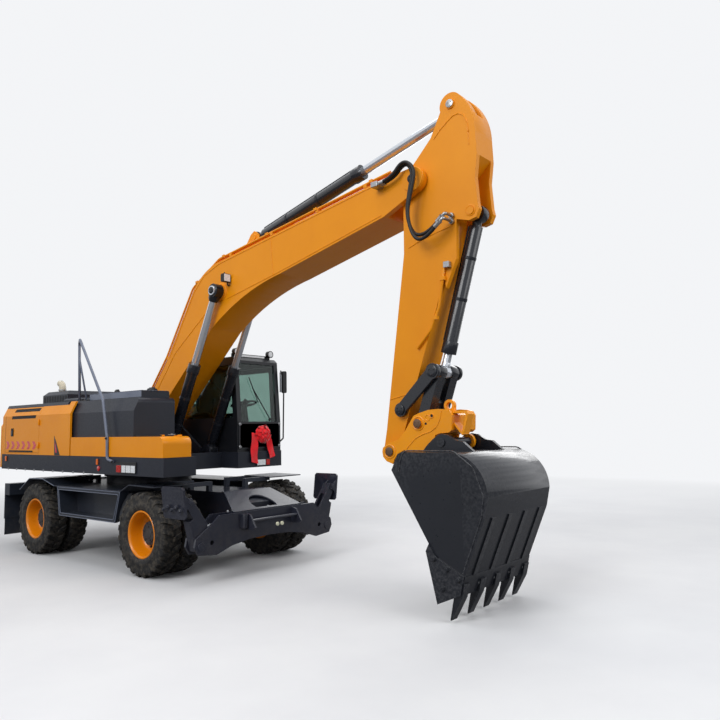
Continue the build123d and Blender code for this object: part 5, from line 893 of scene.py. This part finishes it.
def cab_trim():
    """Guard bolts, wiper, grab rail, roof hatch and mirror glass, and the monitor and armrests inside."""
    bolts, black, rail = shapes(3)
    for y in (476, 1254):
        for z in (1862, 1534):
            bolts.bolt((1243, y, z), (1, 0, 0), 26)
    bolts.put("guard_bolts", "upper", ZINC, "rod")
    black.bar(before_pane(-2, 1060, 1930), before_pane(26, 1060, 1930), 22)
    black.tube([before_pane(20, 1060, 1930), before_pane(18, 905, 2160), before_pane(12, 760, 2380)], 8)
    black.tube([before_pane(6, 850, 2180), before_pane(6, 690, 2560)], 7)
    black.box((1010, 1090), (1318, 1330), (1720, 1812))
    black.box((1018, 1080), (1328, 1340), (1735, 1762))
    black.put("wiper", "upper", PLASTIC, "black", 0.6)
    low, high = 1830, 2560
    for z in (low, high):
        rail.bar((-190, 1288, z), (-190, 1330, z), 12)
    rail.pipe([(-190, 1290, low), (-190, 1332, low), (-190, 1332, high), (-190, 1290, high)], 12, 30)
    rail.put("cab_grab_rail", "upper", BLACK, "black")
    hatch = Shape().box((160, 760), (600, 1130), (2859, 2868))
    hatch.put("roof_hatch", "upper", GASKET, "black", 4)
    screen = Shape().box((1020, 1050), (585, 715), (2000, 2110)).bar((1040, 650, 1900), (1035, 650, 2010), 14)
    screen.put("monitor", "upper", PLASTIC, "black", 4)
    pane = Shape().box((1018.5, 1020.5), (596, 704), (2012, 2098))
    pane.put("monitor_screen", "upper", GASKET, "glass", 1)
    rests = Shape()
    for y in (554, 1176):
        knob = [(-40, 0), (-40, 18), (0, 27), (34, 24), (50, 12), (52, 0)]
        rests.lathe(knob, (536, y, 2225), (0.17, 0, 1), 20)
        rests.box((120, 480), (y - 44, y + 44), (2026, 2052))
    rests.put("armrests", "upper", PLASTIC, "seat", 6)
    mirror = Shape().box((1176, 1180), (1330, 1392), (2355, 2665))
    mirror.put("mirror_glass", "upper", CHROME, "glass", 1)


# Details on the boom, arm and bucket

BOOM_NOSE, ARM_EYE = (4916, 4410), (5356, 5135)
BOOM_CYLINDER_EYE, ARM_CYLINDER_FOOT = (1725, 3639), (2200, 4335)
BOOM_FOOT, BOOM_CYLINDER_FOOT = (-100, 1860), (716, 1500)
BUCKET_CYLINDER_FOOT, LINK_UPPER = (5555, 3949), (5077, 2347)
IDLER_PIVOT, COUPLER_PIN, ARM_TIP = (4663, 1963), (4893, 1816), (4514, 1524)
BOOM_SIDE, ARM_SIDE, COUPLER_SIDE, BUCKET_SIDE = 260.5, 175.5, 235.5, 641
BOOM_CYLINDER_Y = 350
BUCKET_WIDTH, TOOTH_WIDTH, TOOTH_PIN_Y, TEETH = 1280, 95, 47, 5
BOOM_WELDS = (
    [(560, 2836), (1122, 3712), (1350, 3922), (1680, 4036), (4390, 4466)],
    [(-10, 2060), (700, 2900), (1520, 3480), (1690, 3525)],
    [(1840, 3530), (2860, 3738), (4480, 4106)],
)
HEAD_SEAM = [
    (5140, 4815), (5216, 4888), (5298, 4946), (5380, 4998), (5452, 5004), (5508, 4968), (5545, 4888),
    (5560, 4779), (5562, 4640),
]
COUPLER_SEAM = [
    (4700, 1500), (4760, 1580), (4850, 1662), (4950, 1706), (5040, 1730), (5120, 1780), (5160, 1860),
    (5180, 1940),
]
BUCKET_SEAM = [(4930, 1352), (4975, 1552), (5560, 1552), (5760, 1410), (5862, 1150), (5836, 965), (5625, 452)]


def pin_end(shape, centre, y, side, radius, tall=14, bolts=0):
    """A pin's round end on a side: a turned cap, bolted if it carries bolts."""
    profile = [(-2, 0), (-2, radius), (tall * 0.7, radius), (tall, radius * 0.86), (tall, 0)]
    shape.lathe(profile, flat(centre, side * y), (0, side, 0), 36)
    x, z = centre
    for i in range(bolts):
        angle = FULL_TURN * i / bolts + 0.5
        reach = 0.58 * radius
        place = (x + reach * math.cos(angle), side * (y + tall - 1), z + reach * math.sin(angle))
        shape.bolt(place, (0, side, 0), radius * 0.26, washer=False)


def ring(shape, centre, y, side, inner, outer, tall=10):
    """A raised ring round a place on a side."""
    half = (outer - inner) / 2
    step = tall * 0.6
    profile = [(-3, inner), (-3, outer), (step, outer), (tall, inner + half), (step, inner), (-3, inner)]
    shape.lathe(profile, flat(centre, side * y), (0, side, 0), 40)


def boom_trim():
    """Pin caps, rings and weld seams on the boom, and the black ends of its cylinders' rods."""
    caps, rings, welds, ends = shapes(4)
    heading = (flat(BOOM_CYLINDER_FOOT) - flat(BOOM_CYLINDER_EYE)).normalized()
    for side in (-1, 1):
        pin_end(caps, BOOM_NOSE, 289, side, 46, 14, 4)
        ring(rings, BOOM_NOSE, 259, side, 78, 98, 12)
        pin_end(caps, BOOM_CYLINDER_EYE, 432, side, 46, 12, 3)
        ring(rings, BOOM_CYLINDER_EYE, 259, side, 92, 118, 14)
        pin_end(caps, BOOM_FOOT, 289, side, 52, 14, 4)
        for run in BOOM_WELDS:
            welds.weld(run, side * BOOM_SIDE, 6, 16)
        welds.weld([(2700, 4190), (2740, 3730)], side * BOOM_SIDE, 6)
        eye = [(288, 60), (288, 90), (292, 94), (408, 94), (412, 90), (412, 60), (288, 60)]
        ends.lathe(eye, flat(BOOM_CYLINDER_EYE), (0, side, 0), 40)
        neck = [(60, 0), (60, 76), (110, 74), (150, 56), (150, 0)]
        ends.lathe(neck, flat(BOOM_CYLINDER_EYE, side * BOOM_CYLINDER_Y), heading, 32)
    caps.put("boom_pin_caps", "boom", BLACK, "black", 1)
    ends.put("boom_rod_ends", "boom_rods", BLACK, "rod", 1)
    rings.put("boom_pin_rings", "boom", ORANGE, "orange")
    welds.put("boom_welds", "boom", ORANGE, "orange", angle=80)


def boom_fittings():
    """The work lamp on the boom's right side with its ribs, bracket and lead, and the pipe clamps."""
    lamp = Shape().box((1880, 1936), (-392, -276), (3736, 3846))
    for i in range(6):
        lamp.box((1864, 1882), (-386 + 20 * i, -380 + 20 * i), (3744, 3838))
    lamp.pipe([(1900, -262, 3700), (1900, -300, 3700), (1900, -300, 3740)], 9, 18)
    lamp.pipe([(1868, -330, 3800), (1830, -300, 3850), (1790, -262, 3900)], 6, 30)
    lamp.put("boom_lamp", "boom", PLASTIC, "black", 5)
    face = Shape().box((1935, 1941), (-384, -284), (3744, 3838))
    face.put("boom_lamp_lens", "boom", WHITE_LENS, "lens", 2)
    clamps = Shape()
    for x, z in ((1180, 3846), (1760, 4118), (2620, 4254), (3480, 4390), (4340, 4525)):
        clamps.box((x - 26, x + 26), (-262, -172), (z - 6, z + 26))
        for y in (-245, -217, -190):
            clamps.bolt((x, y, z + 26), UP, 14)
    clamps.put("pipe_clamps", "boom", ORANGE, "orange", 2)


def arm_trim():
    """Pin caps, the head plate's curved seam, weld runs and the pipe clamp on the arm."""
    caps, rings, welds = shapes(3)
    for side in (-1, 1):
        pin_end(caps, ARM_EYE, 190, side, 44, 10, 3)
        ring(rings, BUCKET_CYLINDER_FOOT, 174, side, 44, 58, 8)
        ring(rings, IDLER_PIVOT, 174, side, 66, 84, 8)
        y = side * ARM_SIDE
        welds.weld(HEAD_SEAM, y, 7, 12, bend=60)
        welds.weld([(4780, 3700), (4930, 3752), (5120, 3798), (5330, 3836)], y, 7, 12)
        welds.weld([(4490, 2080), (4790, 2140)], y, 6, 12)
    caps.put("arm_head_pin_caps", "arm", ZINC, "rod", 1)
    rings.put("arm_rings", "arm", ORANGE, "orange")
    welds.put("arm_welds", "arm", ORANGE, "orange", angle=80)
    clamp = Shape().box((5246, 5312), (-232, -176), (3400, 3462))
    clamp.put("arm_pipe_clamp", "arm", ZINC, "rod", 3)


def cylinder_trim():
    """Bands, gland bolts and feed pipes on the boom's, arm's and bucket's cylinders."""
    for name, body, foot, eye, gland, radius, ys in (
        ("boom", "boom_barrels", BOOM_CYLINDER_FOOT, BOOM_CYLINDER_EYE, 1310, 72, (-350, 350)),
        ("arm", "arm_barrel", ARM_CYLINDER_FOOT, ARM_EYE, 1850, 80, (0,)),
        ("bucket", "bucket_barrel", BUCKET_CYLINDER_FOOT, LINK_UPPER, 1440, 70, (0,)),
    ):
        bands, bolts, pipes = shapes(3)
        heading = (flat(eye) - flat(foot)).normalized()
        out = Vector((-heading.z, 0, heading.x))
        if out.z < 0:
            out = -out
        inner, outer = radius - 1, radius + 5
        band = [(-16, inner), (-16, outer), (16, outer), (16, inner), (-16, inner)]
        for y in ys:
            start = flat(foot, y)
            for share in (0.32, 0.62):
                bands.lathe(band, start + heading * gland * share, heading, 36)
            end = start + heading * (gland - 20)
            for i in range(8):
                angle = math.pi * i / 4
                side = Vector((0, 1, 0)) * math.cos(angle) + out * math.sin(angle)
                bolts.bolt(end + side * (radius - 12), heading, 16, washer=False)
            low = start + heading * 130 + out * (radius - 4)
            high = start + heading * (gland - 90) + out * (radius - 4)
            lift = out * 26
            pipes.pipe([low, low + lift, high + lift, high], 9, 22)
        bands.put(f"{name}_cylinder_bands", body, CYLINDER, "rod", 1)
        bolts.put(f"{name}_gland_bolts", body, ZINC, "rod")
        pipes.put(f"{name}_cylinder_pipes", body, CYLINDER, "rod")


def linkage_trim():
    """Caps and bolted pins of the links and the coupler, its seams, and black discs of painted shade in its
    small holes.
    """
    black, silver, pins, rings, welds, holes = shapes(6)
    for side in (-1, 1):
        pin_end(black, LINK_UPPER, 236, side, 62, 12, 3)
        ring(silver, LINK_UPPER, 88, side, 52, 74, 10)
        pin_end(black, IDLER_PIVOT, 244, side, 56, 10, 3)
        for centre, y in ((COUPLER_PIN, 256), (ARM_TIP, 244)):
            pin_end(pins, centre, y, side, 47, 13, 3)
            ring(rings, centre, 234, side, 60, 76, 10)
        ring(rings, (5010, 1872), 234, side, 26, 34, 6)
        ring(rings, (5062, 1890), 234, side, 16, 26, 8)
        welds.weld(COUPLER_SEAM, side * COUPLER_SIDE, 6, 12, bend=120)
        # The black discs in the small holes are painted shade.
        for x, z, radius in ((4985, 1812, 13), (5062, 1890, 15)):
            disc = [(0, 0), (0, radius), (2, radius), (2, 0)]
            holes.lathe(disc, (x, side * 234.6, z), (0, side, 0), 20)
    black.put("link_caps", "idler_links", CYLINDER, "black", 1)
    silver.put("link_pin_rings", "h_link", ZINC, "rod")
    pins.put("coupler_pin_caps", "bucket", RUSTY, "cast", 1)
    rings.put("coupler_rings", "bucket", COUPLER_ORANGE, "coupler")
    welds.put("coupler_welds", "bucket", COUPLER_ORANGE, "coupler", angle=80)
    holes.put("coupler_hole_shade", "bucket", GASKET, "black")


def bucket_trim():
    """Weld runs, cutter bolts and the pins of the teeth."""
    welds, bolts, bright = shapes(3)
    for side in (-1, 1):
        welds.weld(BUCKET_SEAM, side * BUCKET_SIDE, bend=90)
        for x, z in ((5330, 560), (5470, 480), (5590, 400), (5420, 300)):
            bolts.bolt((x, side * 657, z), (0, side, 0), 34)
    for i in range(TEETH):
        middle = (TOOTH_WIDTH - BUCKET_WIDTH) / 2 + i * (BUCKET_WIDTH - TOOTH_WIDTH) / (TEETH - 1)
        for side in (-1, 1):
            head = [(0, 0), (0, 15), (5, 13), (5, 0)]
            bright.lathe(head, (5600, middle + side * TOOTH_PIN_Y, 322), (0, side, 0), 16)
        bolts.lathe([(-52, 0), (-52, 13), (52, 13), (52, 0)], (5580, middle, 292), (0, 1, 0), 12)
    welds.put("bucket_welds", "bucket", BUCKET, "bucket", angle=80)
    bolts.put("bucket_bolts", "bucket", BUCKET, "bucket", 1)
    bright.put("tooth_pins", "bucket", ZINC, "rod")


# Details on the chassis

def support_trim():
    """Pin ends and bolts of the front support and its pads."""
    pale, bolts = shapes(2)
    for y in (-39, 39):
        pale.lathe([(-8, 0), (-8, 24), (4, 24), (8, 20), (8, 0)], (2572, y, 601), (1, 0, 0), 24)
    for y in (-150, -330, -520, 150, 330, 520):
        bolts.bolt((2190, y, 771), UP, 30)
    pale.put("support_pale_pins", "chassis", WHITE_CAP, "cream")
    bolts.put("support_bolts", "chassis", ZINC, "rod")
    for side, name in SIDES:
        rubs = Shape()
        for i in range(5):
            rubs.bolt((2010 + 78 * i, side * 1322, 870 + 34 * (i % 2)), (0, side, 0), 30)
        rubs.put(f"pad_bolts_{name}", f"support_pad_{name}", SUPPORT, "chassis", 1)


def chassis_trim():
    """Pale strips along the edges of the fenders and step boxes as painted highlights, rear reflectors and
    axle bolts.
    """
    edges, bolts, white = shapes(3)
    # The pale strips along the fender and step box edges are painted highlights on the dark paint.
    fender = [(-1878, 925), (-1570, 1103), (-1140, 1111), (-800, 1025)]
    box = [(-695, 1018), (-625, 620), (840, 620), (950, 1018)]
    for side in (-1, 1):
        y = side * 1251
        edges.pipe([(x, y, z) for x, z in fender], 5, 30, 8)
        for low in (4, 38):
            inner = [(x + low * (1 if x < 0 else -1), y, z + low * (1 if z < 800 else -1)) for x, z in box]
            edges.pipe(inner + inner[:1], 4.5, 20, 8)
        white.box((-2404, -2396), (side * 1180 - 40, side * 1180 + 40), (860, 960))
        for x in (-1490, -1310, 1310, 1490):
            bolts.bolt((x, side * 560, 690), UP, 30)
    edges.put("fender_edge_highlights", "chassis", GREY_RAIL, "chassis")
    white.put("rear_reflectors", "chassis", WHITE_LENS, "lens", 2)
    bolts.put("axle_bolts", "chassis", ZINC, "rod")


# Hoses, the ribbon and the seat

HOSE_RADIUS = 19
# Each hose's place across and the control points of its route as (x, z), in metres
HOSE_ROUTES = (
    (-0.316, [
        (3.025, 4.430), (3.215, 4.440), (3.385, 4.600), (3.485, 4.480), (3.425, 4.250), (3.385, 4.000),
        (3.485, 3.760), (3.685, 3.780), (3.815, 3.900),
    ]),
    (-0.357, [
        (3.025, 4.430), (3.215, 4.440), (3.385, 4.620), (3.545, 4.480), (3.485, 4.250), (3.415, 4.000),
        (3.515, 3.700), (3.685, 3.720), (3.815, 3.840),
    ]),
)


def spline_points(route):
    """Points read from the NURBS spline whose control points are a route, in metres."""
    curve = bpy.data.curves.new("route", "CURVE")
    curve.dimensions = "3D"
    spline = curve.splines.new("NURBS")
    spline.points.add(len(route) - 1)
    for point, place in zip(spline.points, route):
        point.co = (*place, 1)
    spline.order_u = 3
    spline.use_endpoint_u = True
    curve.resolution_u = 12
    carrier = add_object("route", curve)
    bpy.context.view_layer.update()
    mesh = bpy.data.meshes.new_from_object(carrier)
    places = [v.co.copy() for v in mesh.vertices]
    bpy.data.meshes.remove(mesh)
    bpy.data.objects.remove(carrier)
    bpy.data.curves.remove(curve)
    return places


def hoses():
    """Two black hoses that hang from the boom's nose in loops to the arm's side, with crimped ends."""
    near, far, elbows = shapes(3)
    tubes = []
    for i, (across, route) in enumerate(HOSE_ROUTES):
        places = spline_points([(x, across, z) for x, z in route])
        local = [p / MM - SET_DOWN for p in places]
        tube = Shape().tube(local, HOSE_RADIUS, 20).put(f"arm_hose_{i + 1}", None, HOSE, "hose", angle=60)
        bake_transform(tube)
        tubes.append((tube, places))
        y = across / MM
        near.bar((4524, y, 4430), (4542, y, 4431), 27, sides=6)
        near.bar((4540, y, 4431), (4596, y, 4434), 24, 23)
        end, before = local[-1], local[-9]
        heading = (end - before).normalized()
        far.bar(end - heading * 62, end + heading * 6, 24, 24)
        far.bar(end + heading * 4, end + heading * 26, 28, sides=6)
        turn = end + heading * 62
        elbows.pipe([end + heading * 20, turn, (turn.x, -240, turn.z), (turn.x, -176, turn.z)], 17, 34)
        elbows.bar((turn.x, -206, turn.z), (turn.x, -174, turn.z), 31, sides=6)
    block = Shape().box((4436, 4524), (-384, -260.5), (4401, 4459)).put("hose_block", "boom", ZINC, "hose", 5)
    ends = near.put("hose_ends_boom", "boom", ZINC, "hose", 1)
    tips = far.put("hose_ends_arm", "arm", ZINC, "hose")
    elbows.put("hose_elbows", "arm", ZINC, "hose")
    for tube, places in tubes:
        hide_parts("arm_hoses")
    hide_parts("arm_hoses")


KNOT = Vector((1268, 875, 1712))
RIBBON_WIDTH = 52
# Rings of loops in the ball: lean out of the guard in degrees, how many loops, their reach
RIBBON_RINGS = ((12, 13, 140), (34, 11, 134), (58, 8, 112), (82, 4, 88))
# Tails: side, top and foot as (y, z), half the width at the top
RIBBON_TAILS = ((-1, (742, 1728), (694, 1296), 60), (1, (962, 1724), (1050, 1366), 48))


def ribbon_loop(tilt, share, reach):
    """Rows of points across one loop of the ribbon, out of the knot and back to it."""
    turn = FULL_TURN * share + random.uniform(-0.12, 0.12)
    lean = math.radians(tilt + random.uniform(-7, 7))
    out = Vector((math.sin(lean), math.cos(lean) * math.cos(turn), math.cos(lean) * math.sin(turn)))
    across = Vector((0, -math.sin(turn), math.cos(turn)))
    across = (across + out.cross(across) * random.uniform(-0.5, 0.5)).normalized()
    normal = out.cross(across).normalized()
    size = reach * random.uniform(0.92, 1.04)
    rows = []
    for k in range(17):
        s = k / 16
        far = size * math.sin(math.pi * s) ** 0.75
        side = 36 * math.sin(FULL_TURN * s) * (0.4 + 0.6 * math.sin(math.pi * s))
        middle = KNOT + out * far + normal * side
        curl = across * (RIBBON_WIDTH / 2) + out * 5 * math.sin(5 * math.pi * s)
        rows.append((middle - curl, middle, middle + curl))
    return rows


def ribbon_tail(side, top, foot, breadth):
    """Rows of points across one rippled tail that hangs clear of the deck's front."""
    rows = []
    for k in range(23):
        s = k / 22
        x = 1270 + 14 * math.sin(6.5 * s + side) * (1 - s) + 44 * s
        y = top[0] + (foot[0] - top[0]) * s + side * 14 * math.sin(3.4 * s)
        z = top[1] + (foot[1] - top[1]) * s
        half = breadth + 8 * s
        rows.append([
            (x + 7 * math.sin(9 * s + j), y + half * (j - 2) / 2, z + side * 8 * (j - 2)) for j in range(5)
        ])
    return rows


def ribbon():
    """The red ribbon: a ball of looped bands gathered on the guard and two rippled tails."""
    shape = Shape()
    for tilt, petals, reach in RIBBON_RINGS:
        for i in range(petals):
            shape.sheet(ribbon_loop(tilt, (i + 0.37 * tilt) / petals, reach))
    for tail in RIBBON_TAILS:
        shape.sheet(ribbon_tail(*tail))
    area = sum(face.calc_area() for face in shape.bm.faces) * MM * MM
    cloth = shape.put("ribbon", "upper", RIBBON, "ribbon", angle=180)
    smooth = cloth.modifiers.new("smooth", "SUBSURF")
    smooth.levels = smooth.render_levels = 2
    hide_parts("rosette")


def cushion(name, centre, size, lean, ribs, groove):
    """A stuffed pad: a rounded block that swells between its stitched seams."""
    bm = bmesh.new()
    bmesh.ops.create_cube(bm, size=2)
    bmesh.ops.subdivide_edges(bm, edges=bm.edges[:], cuts=23, use_grid_fill=True)
    turn = Matrix.Rotation(math.radians(lean), 3, "Y")
    roundness = 5
    for v in bm.verts:
        p = v.co.copy()
        p /= sum(abs(part) ** roundness for part in p) ** (1 / roundness)
        swell = 1 + 0.07 * math.cos(p.x * math.pi / 2) * math.cos(p.y * math.pi / 2)
        seams = [math.exp(-((p.x - rib) / 0.035) ** 2) for rib in ribs]
        seams += [math.exp(-((p.y - rib) / 0.03) ** 2) for rib in (-0.62, 0.62)]
        p.z *= swell - groove * max(seams) * (1 if p.z > 0 else 0)
        v.co = turn @ Vector([part * length / 2 for part, length in zip(p, size)]) + Vector(centre)
    pad = Shape(bm).put(name, "upper", SEAT_CLOTH, "seat", angle=60)
    return pad


def seat():
    """The driver's seat: cushion, back, headrest, bellows and base."""
    pads = [
        cushion("seat_cushion", (270, 865, 1832), (500, 480, 150), -4, (-0.1, 0.5), 0.1),
        cushion("seat_back", (34, 865, 2180), (610, 460, 130), -102, (-0.35, 0.1, 0.5), 0.12),
        cushion("headrest", (-26, 865, 2472), (170, 280, 96), -102, (0.0,), 0.05),
    ]
    base = Shape().box((90, 410), (690, 1040), (1507, 1560))
    for i in range(5):
        low, tuck = 1560 + 40 * i, 6 * (i % 2)
        base.box((104 + tuck, 396 - tuck), (700, 1030), (low, low + 36))
    base.box((60, 470), (640, 1090), (1756, 1772))
    for piece in (*pads, base.put("seat_base", "upper", PLASTIC, "seat", 8)):
        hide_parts("driver_seat")


def main():
    for step in (
        stage, camera, hoses, dress, wheels, seat, ribbon, doors_trim, house_trim, skirt_trim, ledge_trim,
        lid_trim, valve_tubes, cab_trim, boom_trim, boom_fittings, arm_trim, cylinder_trim, linkage_trim,
        bucket_trim, support_trim, chassis_trim,
    ):
        step()


main()
